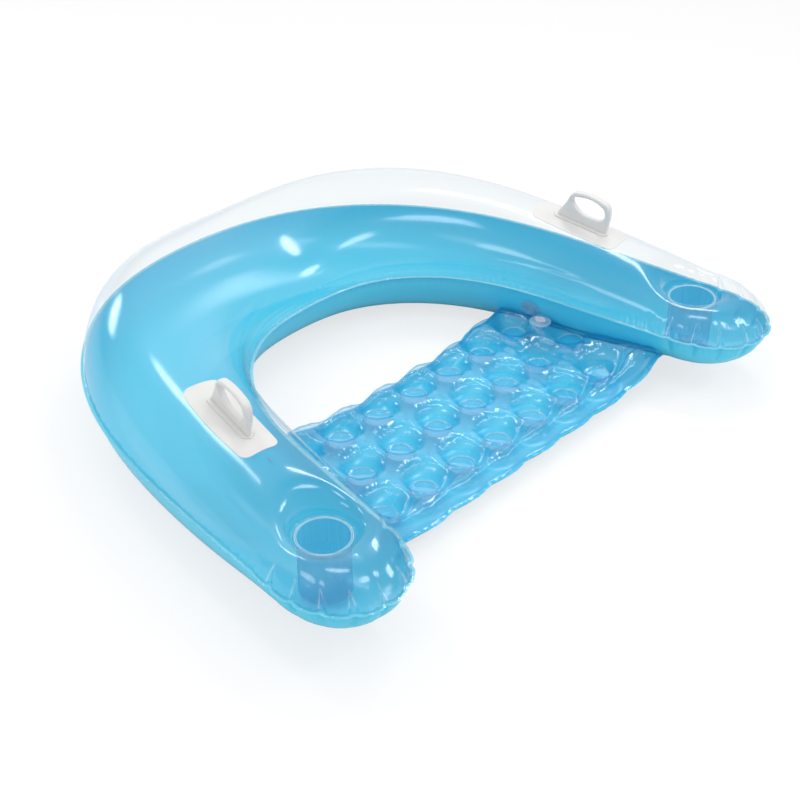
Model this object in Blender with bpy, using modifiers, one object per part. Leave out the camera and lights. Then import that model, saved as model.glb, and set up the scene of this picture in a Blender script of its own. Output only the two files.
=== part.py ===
"""Inflatable pool lounge: a horseshoe tube with a dimpled seat mattress, cup holders, handles and air valves.

The part stands on z = 0 and rests on the underside of its tube. +Z is up, the open side between
the arms faces -Y, and the sitter's right arm is at -X. The origin is under the middle of the outline.
All sizes are in metres.
"""

import math

import bmesh
import bpy
import numpy as np
from mathutils import Matrix, Vector

# Film and fits
FILM = 0.0003
GAP = 0.0003
CUT_OVERRUN = 0.004

# Ring: the inflated horseshoe tube. The spine is the line under the crown of the tube
SPINE_SPREAD = 0.567
SPINE_DEPTH = 0.992
BACK_HALF_WIDTH = 0.197
CROWN_HEIGHT = 0.165
SEAM_HEIGHT = 0.135
FLOOR_PRESS = 0.0035
RIM_WIDTH = 0.007
CAP_LENGTH = 0.167
ARM_TRIM = 0.020
CAP_ROUND_SHARE = 2.15
# Spine points as shares of SPINE_SPREAD and SPINE_DEPTH, from the middle of the back to the arm's end
SPINE_SHARES = (
    (0.000, 1.000),
    (0.330, 0.969),
    (0.589, 0.870),
    (0.769, 0.720),
    (0.866, 0.543),
    (0.914, 0.361),
    (0.956, 0.188),
    (1.000, 0.000),
)
# Half width of the tube at those points, as a share of BACK_HALF_WIDTH
WIDTH_SHARES = (1.00, 0.97, 0.88, 0.77, 0.685, 0.65, 0.62, 0.64)
# Height of the crown over the seam at those points, as a share of CROWN_HEIGHT
CROWN_SHARES = (0.80, 0.94, 1.00, 0.93, 0.80, 0.66, 0.54, 0.47)
# Depth of the tube under the seam at those points, as a share of its depth at the back
DEPTH_SHARES = (1.00, 1.00, 1.00, 1.00, 1.00, 0.93, 0.70, 0.55)
ARM_STATIONS = 12
DIP_STATIONS = 3
ARC_STATIONS = 4
UNDER_STATIONS = 15
UNDER_CAP_STATIONS = 6
SECTION_ROWS = 7
CAP_STATIONS = 6

# Cup holders, sunk into the round end of each arm
CUP_BORE = 0.095
CUP_DEPTH = 0.112
CUP_RIM_HEIGHT = 0.170
CUP_WALL = 0.0012
CUP_LIP_WIDTH = 0.0055
CUP_LIP_THICKNESS = 0.0012
CUP_ROOM = 0.0006
CUP_SEAT_WIDTH = 0.008
CUP_DIP_LENGTH = 0.075
CUP_DIP_POWER = 2.6
CUP_BASE_THICKNESS = 0.0012
CUP_STEPS = 32

# Handles: a welded patch on the crown of each arm, and a moulded grip on it
HANDLE_FORWARD_Y = -0.1385
PATCH_LENGTH = 0.210
PATCH_WIDTH = 0.084
PATCH_BOW = 0.004
PATCH_CORNER = 0.016
PATCH_THICKNESS = 0.0010
PATCH_CLEARANCE = 0.0006
GRIP_FORWARD = 0.004
GRIP_FOOT_LENGTH = 0.134
GRIP_FOOT_WIDTH = 0.026
GRIP_FOOT_THICKNESS = 0.0026
GRIP_HEIGHT = 0.072
GRIP_BASE_LENGTH = 0.124
GRIP_TOP_LENGTH = 0.098
GRIP_THICKNESS = 0.017
GRIP_WEB_SHARE = 0.58
GRIP_BAR = 0.013
GRIP_LEG = 0.011
GRIP_WEB_HEIGHT = 0.024
GRIP_ROUND = 0.0045
GRIP_SINK = 0.0012

# Seat: the dimpled mattress between the arms
SEAT_LEVEL = 0.040
SEAT_CROWN = 0.030
SEAT_BELLY = 0.028
SEAT_PITCH = 0.107
SEAT_ROW_PITCH = 0.114
SEAT_ROWS = 3
SEAT_FIRST_ROW_Y = -0.1165
SEAT_FRONT_Y = -0.4215
SEAT_BACK_Y = -0.062
SEAT_CLEARANCE = 0.0009
SEAT_BACK_SWEEP = 0.022
SEAT_SWEEP_START = 0.12
SEAT_SWEEP_RUN = 0.20
SEAT_RIM_WIDTH = 0.010
SEAT_SCALLOP = 0.010
SEAT_EDGE_ROLL = 0.036
SEAT_JOIN_ROW = 3
SEAT_TAB_SHARE = 0.4
SPOT_RADIUS = 0.028
SPOT_PILLOW = 0.037
SEAT_CELLS_PER_PITCH = 4
# The least room, in grid cells, between the last full column and the arm
SEAT_LAST_SHARE = 0.65

# Valves: one for the ring on its inner wall, one for the seat in its back corner
RING_VALVE_Y = -0.095
RING_VALVE_ROW = 1
SEAT_VALVE_X = 0.3575
SEAT_VALVE_ROW = 1
SEAT_VALVE_FLAT = 0.027
SEAT_VALVE_SLOPE = 0.008
SEAT_VALVE_LEVEL = 0.080
VALVE_FLANGE_RADIUS = 0.024
VALVE_FLANGE_THICKNESS = 0.0010
VALVE_COLLAR_WALL = 0.0045
VALVE_COLLAR_HEIGHT = 0.0030
VALVE_STEM_RADIUS = 0.0105
VALVE_STEM_LENGTH = 0.0220
VALVE_STEM_LIP = 0.0028
VALVE_LIP_THICKNESS = 0.0011
VALVE_BORE_RADIUS = 0.0072
VALVE_PLUG_DEPTH = 0.0060
VALVE_PLUG_TOP_RADIUS = 0.0067
VALVE_PLUG_TIP_RADIUS = 0.0048
VALVE_CAP_RADIUS = 0.0105
VALVE_CAP_THICKNESS = 0.0012
VALVE_TAB_WIDTH = 0.0080
VALVE_TAB_REACH = 0.0132
VALVE_FLAP_THICKNESS = 0.0008
VALVE_PLAY = 0.0005
VALVE_STEPS = 24

CENTRE_X = 0.0


def clear_scene():
    for obj in list(bpy.data.objects):
        bpy.data.objects.remove(obj, do_unlink=True)
    for collection in list(bpy.data.collections):
        bpy.data.collections.remove(collection)


def new_collection(name):
    collection = bpy.data.collections.new(name)
    bpy.context.scene.collection.children.link(collection)
    return collection


def material(name, colour, roughness, alpha=1.0, metallic=0.0):
    """A Principled material with the given colour, gloss and see-through."""
    made = bpy.data.materials.new(name)
    made.use_nodes = True
    shader = made.node_tree.nodes["Principled BSDF"]
    shader.inputs["Base Color"].default_value = (*colour, 1.0)
    shader.inputs["Roughness"].default_value = roughness
    shader.inputs["Metallic"].default_value = metallic
    shader.inputs["Alpha"].default_value = alpha
    made.diffuse_color = (*colour, alpha)
    return made


def mesh_object(name, points, faces, collection, finish):
    mesh = bpy.data.meshes.new(name)
    mesh.from_pydata([tuple(p) for p in points], [], faces)
    mesh.update()
    obj = bpy.data.objects.new(name, mesh)
    collection.objects.link(obj)
    mesh.materials.append(finish)
    return obj


def tidy_mesh(mesh, recalculate=True):
    """Merges points that coincide and, on a closed shape, turns its faces outwards."""
    work = bmesh.new()
    work.from_mesh(mesh)
    bmesh.ops.remove_doubles(work, verts=work.verts, dist=GAP / 10)
    if recalculate:
        bmesh.ops.recalc_face_normals(work, faces=work.faces)
    work.to_mesh(mesh)
    work.free()


def smooth(obj, angle=math.radians(40)):
    obj.data.shade_smooth()
    obj.data.set_sharp_from_angle(angle=angle)


class Spline:
    """A natural cubic spline through one value at each knot."""

    def __init__(self, knots, values):
        self.knots = np.asarray(knots, float)
        self.values = np.asarray(values, float)
        count = len(self.knots)
        step = np.diff(self.knots)
        system = np.eye(count)
        right = np.zeros(count)
        for i in range(1, count - 1):
            system[i, i - 1] = step[i - 1]
            system[i, i] = 2 * (step[i - 1] + step[i])
            system[i, i + 1] = step[i]
            rise = (self.values[i + 1] - self.values[i]) / step[i]
            fall = (self.values[i] - self.values[i - 1]) / step[i - 1]
            right[i] = 6 * (rise - fall)
        self.bend = np.linalg.solve(system, right)

    def place(self, t):
        i = int(np.clip(np.searchsorted(self.knots, t) - 1, 0, len(self.knots) - 2))
        step = self.knots[i + 1] - self.knots[i]
        after = (t - self.knots[i]) / step
        return i, step, 1 - after, after

    def value(self, t):
        i, step, a, b = self.place(t)
        curve = (a**3 - a) * self.bend[i] + (b**3 - b) * self.bend[i + 1]
        return a * self.values[i] + b * self.values[i + 1] + curve * step**2 / 6

    def slope(self, t):
        i, step, a, b = self.place(t)
        rise = (self.values[i + 1] - self.values[i]) / step
        curve = (3 * b**2 - 1) * self.bend[i + 1] - (3 * a**2 - 1) * self.bend[i]
        return rise + curve * step / 6


def smoothstep(share):
    share = min(max(share, 0.0), 1.0)
    return share * share * (3 - 2 * share)


class Ring:
    """The form of the inflated tube. Stations run along its spine from the back to the end of an arm."""

    def __init__(self):
        half = [(x * SPINE_SPREAD, y * SPINE_DEPTH) for x, y in SPINE_SHARES]
        line = np.array([(-x, y) for x, y in reversed(half[1:])] + half)
        knots = np.concatenate([[0.0], np.cumsum(np.linalg.norm(np.diff(line, axis=0), axis=1))])
        knots -= knots[-1] / 2
        widths = [share * BACK_HALF_WIDTH for share in WIDTH_SHARES]
        crowns = [share * CROWN_HEIGHT for share in CROWN_SHARES]
        self.x = Spline(knots, line[:, 0])
        self.y = Spline(knots, line[:, 1])
        self.width = Spline(knots, widths[:0:-1] + widths)
        self.crown = Spline(knots, crowns[:0:-1] + crowns)
        depths = [share * (SEAM_HEIGHT + FLOOR_PRESS) for share in DEPTH_SHARES]
        self.depth = Spline(knots, depths[:0:-1] + depths)
        self.end = knots[-1] - ARM_TRIM
        self.cup_station = self.end - CAP_LENGTH
        self.shift = 0.0
        outline = [self.rim(s, side)[0] for s, side in self.rim_walk(ARM_STATIONS * 4)]
        lows = min(point.y for point in outline) - RIM_WIDTH
        highs = max(point.y for point in outline) + RIM_WIDTH
        self.shift = -(lows + highs) / 2

    def spine(self, s):
        return Vector((self.x.value(s), self.y.value(s) + self.shift, 0.0))

    def along(self, s):
        return Vector((self.x.slope(s), self.y.slope(s), 0.0)).normalized()

    def outward(self, s):
        along = self.along(s)
        return Vector((-along.y, along.x, 0.0))

    def rim_walk(self, count):
        """(place, side) along the right half of the rim, where a place past the cup station is an angle share."""
        outer = [(("arm", self.cup_station * i / count), 1) for i in range(count)]
        outer += [(("cap", i / count), 1) for i in range(count + 1)]
        inner = [(place, -1) for place, _ in reversed(outer[:-1])]
        return outer + inner

    def rim(self, place, side):
        """The point of the rim at a place, and the station that it belongs to."""
        kind, value = place
        if kind == "arm":
            s, share = value, 1.0
        else:
            angle = value * math.pi / 2
            s = self.cup_station + CAP_LENGTH * math.sin(angle) ** (2 / CAP_ROUND_SHARE)
            share = max(math.cos(angle), 0.0) ** (2 / CAP_ROUND_SHARE)
            if value >= 1.0:
                s, share = self.end, 0.0
        point = self.spine(s) + self.outward(s) * (side * share * self.width.value(s))
        return point, s

    def crown_at(self, s):
        return self.crown.value(min(s, self.end))

    def wall_point(self, s, side, angle, upper):
        """A point of the tube's wall, its outward normal and its direction along the arm."""
        reach = self.width.value(s)
        height = self.crown_at(s) if upper else -self.depth.value(s)
        out = self.outward(s) * side
        level = SEAM_HEIGHT + height * math.sin(angle)
        point = self.spine(s) + out * (reach * math.cos(angle)) + Vector((0, 0, level))
        normal = out * (math.cos(angle) / reach) + Vector((0, 0, math.sin(angle) / height))
        return point, normal.normalized(), self.along(s)

    def station_at_y(self, y):
        """The station on the right arm whose spine point has this y."""
        low, high = 0.0, self.end
        for _ in range(50):
            middle = (low + high) / 2
            if self.spine(middle).y > y:
                low = middle
            else:
                high = middle
        return (low + high) / 2


def rim_normals(points):
    """Outward directions, in plan, of a half rim that starts and ends on the plane of symmetry."""
    normals = []
    for i, point in enumerate(points):
        before = points[max(i - 1, 0)]
        after = points[min(i + 1, len(points) - 1)]
        along = (after - before).normalized()
        normals.append(Vector((-along.y, along.x, 0.0)))
    normals[0] = Vector((0.0, 1.0, 0.0))
    normals[-1] = Vector((0.0, -1.0, 0.0))
    return normals


def strip_faces(columns, rows):
    """Faces of a grid whose points are numbered column by column."""
    faces = []
    for k in range(columns - 1):
        for j in range(rows - 1):
            a = k * rows + j
            faces.append((a, a + 1, a + rows + 1, a + rows))
    return faces


def finish_sheet(obj, upwards):
    """Mirrors a half sheet over the plane of symmetry and gives it the thickness of the film."""
    tidy_mesh(obj.data, recalculate=False)
    faces = bmesh.new()
    faces.from_mesh(obj.data)
    if (sum(face.normal.z * face.calc_area() for face in faces.faces) > 0) != upwards:
        bmesh.ops.reverse_faces(faces, faces=faces.faces)
    faces.to_mesh(obj.data)
    faces.free()
    mirror = obj.modifiers.new("Mirror", "MIRROR")
    mirror.merge_threshold = GAP / 10
    film = obj.modifiers.new("Film", "SOLIDIFY")
    film.thickness = FILM
    film.offset = 1.0
    film.use_even_offset = True
    smooth(obj, math.radians(60))
    return obj


def cup_centre(ring):
    return ring.spine(ring.cup_station)


def cup_hole_radius():
    """Corner radius of the hole in the upper sheet, so that its flats clear the sleeve."""
    return (CUP_BORE / 2 + CUP_WALL + CUP_ROOM) / math.cos(math.pi / (4 * ARC_STATIONS))


def cup_seat_level():
    """Level of the upper sheet's underside where the cup's lip lies on it."""
    return CUP_RIM_HEIGHT - CUP_LIP_THICKNESS - GAP - FILM


class Funnel:
    """Heights of the upper sheet over the seam: the tube's ellipse, drawn down to the cup holder's lip."""

    def __init__(self, ring):
        self.centre = cup_centre(ring)
        self.flat = cup_hole_radius() + CUP_SEAT_WIDTH
        self.lip = cup_seat_level() - SEAM_HEIGHT

    def height(self, point, middle, half_width, crown):
        """Height at a plan point, given the middle, half width and crown of the tube's section there."""
        across = min((point - middle).length / half_width, 1.0)
        natural = crown * math.sqrt(1 - across * across)
        out = min(max(((point - self.centre).length - self.flat) / CUP_DIP_LENGTH, 0.0), 1.0)
        return self.lip + (natural - self.lip) * math.sqrt(1 - (1 - out) ** CUP_DIP_POWER)


def upper_columns(ring, funnel):
    """(rim point, target point, section middle, crown, turn, side) for each column of the right half."""
    flat, centre = funnel.flat, funnel.centre
    dip_start = ring.cup_station - flat - CUP_DIP_LENGTH
    walk = [("arm", dip_start * i / ARM_STATIONS, None) for i in range(ARM_STATIONS)]
    for i in range(DIP_STATIONS):
        walk.append(("arm", dip_start + CUP_DIP_LENGTH * i / DIP_STATIONS, None))
    for i in range(ARC_STATIONS):
        angle = math.pi / 2 * (1 - i / ARC_STATIONS)
        walk.append(("arm", ring.cup_station - flat * math.sin(angle), math.pi / 2 + angle))
    for i in range(CAP_STATIONS + 1):
        walk.append(("cap", i / CAP_STATIONS, math.pi / 2 * (1 - i / CAP_STATIONS)))
    columns = []
    along, out = ring.along(ring.cup_station), ring.outward(ring.cup_station)
    for side, part in ((1, walk), (-1, list(reversed(walk[:-1])))):
        for kind, value, turn in part:
            point, s = ring.rim((kind, value), side)
            middle = ring.spine(s) if kind == "arm" else centre
            crown = ring.crown_at(s if kind == "arm" else ring.cup_station)
            if kind == "cap":
                crown += (ring.crown_at(ring.end) - crown) * value
            target = ring.spine(s)
            if turn is not None:
                target = centre + (along * math.cos(turn) + out * (side * math.sin(turn))) * flat
            columns.append((point, target, middle, crown, turn, side))
    return columns


def upper_sheet(ring, collection, finish):
    """The clear upper half of the tube, drawn down round each cup holder."""
    funnel = Funnel(ring)
    columns = upper_columns(ring, funnel)
    hole = cup_hole_radius()
    along, out = ring.along(ring.cup_station), ring.outward(ring.cup_station)
    normals = rim_normals([column[0] for column in columns])
    seam = Vector((0, 0, SEAM_HEIGHT + GAP / 2))
    points = []
    rows = SECTION_ROWS + 3
    for (rim, target, middle, crown, turn, side), normal in zip(columns, normals):
        reach = (rim - middle).length
        share = 1 - (target - middle).length / reach
        sweep = math.acos(1 - share) + (funnel.lip / crown if share < 1 else 0.0)
        points.append(rim + normal * RIM_WIDTH + seam)
        for j in range(SECTION_ROWS + 1):
            angle = sweep * j / SECTION_ROWS
            v = (1 - math.cos(angle)) / (1 - math.cos(sweep))
            place = rim + (target - rim) * v
            height = funnel.height(place, middle, reach, crown)
            points.append(place + seam + Vector((0, 0, height)))
        edge = target
        if turn is not None:
            edge = funnel.centre + (along * math.cos(turn) + out * (side * math.sin(turn))) * hole
        points.append(edge + seam + Vector((0, 0, height)))
    for index in (*range(rows), *range(len(points) - rows, len(points))):
        points[index].x = CENTRE_X
    faces = []
    for face in strip_faces(len(columns), rows):
        spine_only = any(columns[corner // rows][4] is None for corner in face)
        if not (spine_only and max(corner % rows for corner in face) == rows - 1):
            faces.append(face)
    obj = mesh_object("ring_upper_sheet", points, faces, collection, finish)
    return finish_sheet(obj, upwards=True)


def under_columns(ring):
    """(rim point, target point, depth) for each column of the lower sheet's right half."""
    walk = [("arm", ring.cup_station * i / UNDER_STATIONS) for i in range(UNDER_STATIONS)]
    walk += [("cap", i / UNDER_CAP_STATIONS) for i in range(UNDER_CAP_STATIONS + 1)]
    places = [(place, 1) for place in walk] + [(place, -1) for place in reversed(walk[:-1])]
    columns = []
    for place, side in places:
        rim, s = ring.rim(place, side)
        middle = min(s, ring.cup_station)
        columns.append((rim, ring.spine(middle), ring.depth.value(middle)))
    return columns


def under_point(column, row):
    """The point of the lower sheet at a row of one of its columns."""
    rim, target, depth = column
    angle = math.pi / 2 * row / SECTION_ROWS
    point = target + (rim - target) * math.cos(angle)
    point.z = max(SEAM_HEIGHT - GAP / 2 - depth * math.sin(angle), FILM)
    return point


def inner_wall(ring, y, row):
    """The point of the lower sheet's inner side at this y, and its outward normal. A row may lie between two."""
    inner = under_columns(ring)[UNDER_STATIONS + UNDER_CAP_STATIONS + 1 :]
    low = math.floor(row)
    line = []
    for column in inner:
        first, second = under_point(column, low), under_point(column, low + 1)
        line.append((first.lerp(second, row - low), (second - first).normalized()))
    for (here, down), (there, _) in zip(line, line[1:]):
        if here.y <= y <= there.y:
            share = (y - here.y) / (there.y - here.y)
            normal = down.cross(there - here).normalized()
            if normal.x > 0:
                normal.negate()
            return here.lerp(there, share), normal
    raise ValueError(f"the inner wall doesn't reach y {y}")


def lower_sheet(ring, collection, finish):
    """The blue lower half of the tube, pressed flat where it lies on the floor."""
    columns = under_columns(ring)
    points = []
    for column, normal in zip(columns, rim_normals([column[0] for column in columns])):
        edge = under_point(column, 0)
        points.append(edge + normal * RIM_WIDTH)
        points += [under_point(column, row) for row in range(SECTION_ROWS + 1)]
    rows = SECTION_ROWS + 2
    for index in (*range(rows), *range(len(points) - rows, len(points))):
        points[index].x = CENTRE_X
    obj = mesh_object("ring_lower_sheet", points, strip_faces(len(columns), rows), collection, finish)
    return finish_sheet(obj, upwards=False)


def turned(name, profile, place, collection, finish, steps, parent=None, closed=True):
    """A profile of (radius, height) points turned about the local Z axis with a Screw."""
    mesh = bpy.data.meshes.new(name)
    edges = [(i, i + 1) for i in range(len(profile) - 1)]
    if closed:
        edges.append((len(profile) - 1, 0))
    mesh.from_pydata([(radius, 0.0, height) for radius, height in profile], edges, [])
    obj = bpy.data.objects.new(name, mesh)
    collection.objects.link(obj)
    mesh.materials.append(finish)
    screw = obj.modifiers.new("Turn", "SCREW")
    screw.steps = steps
    screw.render_steps = steps
    screw.use_merge_vertices = True
    screw.merge_threshold = GAP / 10
    screw.use_smooth_shade = True
    obj.parent = parent
    obj.matrix_local = place
    return obj


def cup_sleeve(name, centre, collection, finish):
    """A thin tube with a flat lip that is welded over the hole in the upper sheet."""
    bore = CUP_BORE / 2
    wall = bore + CUP_WALL
    lip = wall + CUP_LIP_WIDTH + CUP_ROOM
    under = CUP_RIM_HEIGHT - CUP_LIP_THICKNESS
    foot = CUP_RIM_HEIGHT - CUP_DEPTH
    profile = [
        (bore + CUP_WALL, CUP_RIM_HEIGHT),
        (lip, CUP_RIM_HEIGHT - CUP_LIP_THICKNESS / 3),
        (lip, under),
        (wall, under),
        (wall, foot),
        (bore, foot),
        (bore, CUP_RIM_HEIGHT - CUP_WALL),
    ]
    return turned(name, profile, Matrix.Translation(centre), collection, finish, CUP_STEPS)


def cup_base(name, centre, collection, finish):
    """The round bottom of a cup holder, under the end of its sleeve."""
    top = CUP_RIM_HEIGHT - CUP_DEPTH - GAP
    radius = CUP_BORE / 2 + CUP_WALL
    profile = [
        (0.0, top),
        (radius, top),
        (radius, top - CUP_BASE_THICKNESS),
        (0.0, top - CUP_BASE_THICKNESS),
    ]
    return turned(name, profile, Matrix.Translation(centre), collection, finish, CUP_STEPS, closed=False)


def crown_patch(name, ring, side, middle, outline, lift, thickness, cells, collection, finish):
    """A slab that follows the crown of an arm. The outline gives its half width at a share of its length."""
    length, half_width = outline
    points = []
    columns, rows = cells
    for layer in (lift, lift + thickness):
        for i in range(columns + 1):
            t = 2 * i / columns - 1
            for j in range(rows + 1):
                across = half_width(t) * (2 * j / rows - 1)
                s = middle + t * length / 2
                angle = math.acos(min(max(across / ring.width.value(s), -1.0), 1.0))
                point, normal, _ = ring.wall_point(s, 1, angle, True)
                place = point + normal * layer
                points.append(Vector((side * place.x, place.y, place.z + GAP / 2)))
    block = (columns + 1) * (rows + 1)
    faces = []
    for i in range(columns):
        for j in range(rows):
            a = i * (rows + 1) + j
            faces.append((a, a + 1, a + rows + 2, a + rows + 1))
            faces.append(tuple(block + n for n in (a, a + rows + 1, a + rows + 2, a + 1)))
    loop = [i * (rows + 1) for i in range(columns + 1)]
    loop += [columns * (rows + 1) + j for j in range(1, rows + 1)]
    loop += [i * (rows + 1) + rows for i in range(columns - 1, -1, -1)]
    loop += list(range(rows - 1, 0, -1))
    for here, there in zip(loop, loop[1:] + loop[:1]):
        faces.append((here, there, block + there, block + here))
    obj = mesh_object(name, points, faces, collection, finish)
    tidy_mesh(obj.data)
    smooth(obj)
    return obj


def rounded_end_width(half_width, corner, length, bow):
    """Half width of a rounded, slightly bowed rectangle at a share t of its half length."""

    def width(t):
        reach = abs(t) * length / 2
        straight = length / 2 - corner
        sides = half_width - bow * t * t
        if reach <= straight:
            return sides
        into = min((reach - straight) / corner, 1.0)
        return sides - corner * (1 - math.sqrt(1 - into * into))

    return width


def converted(obj, collection):
    """The evaluated mesh of a curve object as a new mesh object in its place."""
    bpy.context.view_layer.update()
    graph = bpy.context.evaluated_depsgraph_get()
    mesh = bpy.data.meshes.new_from_object(obj.evaluated_get(graph))
    made = bpy.data.objects.new(obj.name + "_mesh", mesh)
    made.matrix_world = obj.matrix_world
    collection.objects.link(made)
    bpy.data.objects.remove(obj, do_unlink=True)
    tidy_mesh(mesh)
    return made


def closed_spline(curve, points):
    """Adds a smooth closed loop through points in the curve's plane."""
    spline = curve.splines.new("BEZIER")
    spline.bezier_points.add(len(points) - 1)
    for knot, (x, y, corner) in zip(spline.bezier_points, points):
        knot.co = (x, y, 0.0)
        knot.handle_left_type = knot.handle_right_type = corner
    spline.use_cyclic_u = True


def grip_loop(name, collection):
    """The upright loop of a handle: a bar for the fingers over a web that spreads into the base."""
    curve = bpy.data.curves.new(name, "CURVE")
    curve.dimensions = "2D"
    curve.fill_mode = "BOTH"
    curve.resolution_u = 5
    curve.extrude = GRIP_THICKNESS / 2 - GRIP_ROUND
    curve.bevel_depth = GRIP_ROUND
    curve.bevel_resolution = 1
    curve.offset = -GRIP_ROUND
    base, top, height = GRIP_BASE_LENGTH / 2, GRIP_TOP_LENGTH, GRIP_HEIGHT
    foot = 0.0
    back_top = base - top
    shoulder = GRIP_BAR * 1.3
    closed_spline(
        curve,
        [
            (base, foot, "VECTOR"),
            (base, height - shoulder, "AUTO"),
            (base - shoulder * 0.35, height - shoulder * 0.3, "AUTO"),
            (base - shoulder, height, "AUTO"),
            (back_top + shoulder, height, "AUTO"),
            (back_top + shoulder * 0.3, height - shoulder * 0.35, "AUTO"),
            (back_top - (base + back_top) / 3, height / 2, "AUTO"),
            (-base, foot, "VECTOR"),
        ],
    )
    inner_top = height - GRIP_BAR
    front, rear = base - GRIP_LEG, back_top + GRIP_LEG * 0.55
    closed_spline(
        curve,
        [
            (front, inner_top - GRIP_BAR, "AUTO"),
            (front - GRIP_BAR * 0.6, inner_top, "AUTO"),
            (rear + GRIP_BAR * 0.6, inner_top, "AUTO"),
            (rear, inner_top - GRIP_BAR * 0.5, "AUTO"),
            (rear + (front - rear) / 4, GRIP_WEB_HEIGHT + GRIP_BAR * 0.35, "AUTO"),
            (rear + (front - rear) * 0.62, GRIP_WEB_HEIGHT, "AUTO"),
            (front - GRIP_BAR * 0.3, GRIP_WEB_HEIGHT + GRIP_BAR * 0.5, "AUTO"),
        ],
    )
    obj = bpy.data.objects.new(name, curve)
    collection.objects.link(obj)
    obj = converted(obj, collection)
    for vertex in obj.data.vertices:
        up = min(max(vertex.co.y / (height - GRIP_BAR), 0.0), 1.0)
        vertex.co.z *= GRIP_WEB_SHARE + (1 - GRIP_WEB_SHARE) * smoothstep(up)
    return obj


def handle(name, ring, side, collection, cutters, finish):
    """The patch and the grip of one arm's handle."""
    middle = ring.station_at_y(HANDLE_FORWARD_Y)
    patch_lift = FILM + PATCH_CLEARANCE
    patch = rounded_end_width(PATCH_WIDTH / 2, PATCH_CORNER, PATCH_LENGTH, PATCH_BOW)
    crown_patch(
        f"handle_patch_{name}",
        ring,
        side,
        middle,
        (PATCH_LENGTH, patch),
        patch_lift,
        PATCH_THICKNESS,
        (16, 6),
        collection,
        finish,
    )
    foot_lift = patch_lift + PATCH_THICKNESS + GAP
    foot_middle = middle + GRIP_FORWARD
    foot_form = rounded_end_width(GRIP_FOOT_WIDTH / 2, GRIP_FOOT_WIDTH / 2.2, GRIP_FOOT_LENGTH, 0.0)
    foot = crown_patch(
        f"handle_grip_{name}",
        ring,
        side,
        foot_middle,
        (GRIP_FOOT_LENGTH, foot_form),
        foot_lift,
        GRIP_FOOT_THICKNESS,
        (16, 4),
        collection,
        finish,
    )
    loop = grip_loop(f"grip_loop_{name}", cutters)
    point, normal, along = ring.wall_point(foot_middle, 1, math.pi / 2, True)
    ahead, _, _ = ring.wall_point(foot_middle + GRIP_FOOT_LENGTH / 2, 1, math.pi / 2, True)
    behind, _, _ = ring.wall_point(foot_middle - GRIP_FOOT_LENGTH / 2, 1, math.pi / 2, True)
    along = (ahead - behind).normalized()
    across = along.cross(Vector((0, 0, 1))).normalized()
    up = across.cross(along)
    origin = point + up * (foot_lift + GRIP_FOOT_THICKNESS - GRIP_SINK)
    frame = Matrix((along, up, across)).transposed().to_4x4()
    frame.translation = origin
    loop.data.transform(Matrix.Diagonal((side, 1, 1, 1)) @ frame)
    tidy_mesh(loop.data)
    loop.hide_render = True
    loop.display_type = "WIRE"
    join = foot.modifiers.new("Loop", "BOOLEAN")
    join.operation = "UNION"
    join.object = loop
    return foot


def spot_centres():
    """Plan places of the mattress's round welds: staggered rows, with one on the centre line of every other row."""
    places = []
    for row in range(SEAT_ROWS):
        offset = 0.5 if row % 2 else 0.0
        y = SEAT_FIRST_ROW_Y - row * SEAT_ROW_PITCH
        for column in range(-6, 7):
            places.append(((column + offset) * SEAT_PITCH, y))
    return places


def onto_spot(x, y, spots):
    """Draws the grid points round a weld onto its round edge, so that each weld is an octagon."""
    cell = math.hypot(SEAT_PITCH, SEAT_ROW_PITCH) / SEAT_CELLS_PER_PITCH
    a, b = min(spots, key=lambda spot: math.hypot(x - spot[0], y - spot[1]))
    reach = math.hypot(x - a, y - b)
    if not GAP < reach < cell * 1.05:
        return x, y
    return a + (x - a) * SPOT_RADIUS / reach, b + (y - b) * SPOT_RADIUS / reach


def seat_faces(points, columns, rows, spots):
    """Triangles of the mattress grid, each quad split from the corner that is nearest to a weld."""
    faces = []
    for quad in strip_faces(columns, rows):
        reach = [min(math.hypot(points[i].x - a, points[i].y - b) for a, b in spots) for i in quad]
        first = reach.index(min(reach))
        a, b, c, d = quad[first:] + quad[:first]
        faces += [(a, b, c), (a, c, d)]
    return faces


def seat_edge_back(x):
    """The back seam of the seat's chamber, drawn in behind each weld of the back row."""
    lobes = SEAT_SCALLOP * math.cos(2 * math.pi * x / SEAT_PITCH) / 2
    return SEAT_BACK_Y - lobes + SEAT_BACK_SWEEP * smoothstep((abs(x) - SEAT_SWEEP_START) / SEAT_SWEEP_RUN)


def seat_edge_front(x):
    return SEAT_FRONT_Y + SEAT_SCALLOP * math.cos(2 * math.pi * x / SEAT_PITCH) / 4


def swept(y, x):
    """Moves a row behind the first welds back, near the arms, with the seat's back edge."""
    share = max((y - SEAT_FIRST_ROW_Y) / (SEAT_BACK_Y - SEAT_FIRST_ROW_Y), 0.0)
    return y + share * SEAT_BACK_SWEEP * smoothstep((abs(x) - SEAT_SWEEP_START) / SEAT_SWEEP_RUN)


def seat_fullness(x, y, side_x, spots):
    """How full the chamber is at a place, from 0 at its welds and seams to 1 between them."""
    edge = min(seat_edge_back(x) - y, y - seat_edge_front(x), side_x - abs(x))
    edge = min(max(edge / SEAT_EDGE_ROLL, 0.0), 1.0)
    near = min(math.hypot(x - a, y - b) for a, b in spots if abs(a) < side_x)
    pillow = min(max((near - SPOT_RADIUS) / SPOT_PILLOW, 0.0), 1.0)
    return math.sqrt(1 - (1 - edge) ** 2) * math.sqrt(1 - (1 - pillow) ** 2)


def valve_flatness(x, y):
    """How far the seat's upper sheet is levelled at a place for its valve, from 0 to 1."""
    valve_x, valve_y = seat_valve_place()
    reach = math.hypot(x - valve_x, y - valve_y)
    return 1 - smoothstep((reach - SEAT_VALVE_FLAT) / SEAT_VALVE_SLOPE)


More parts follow.
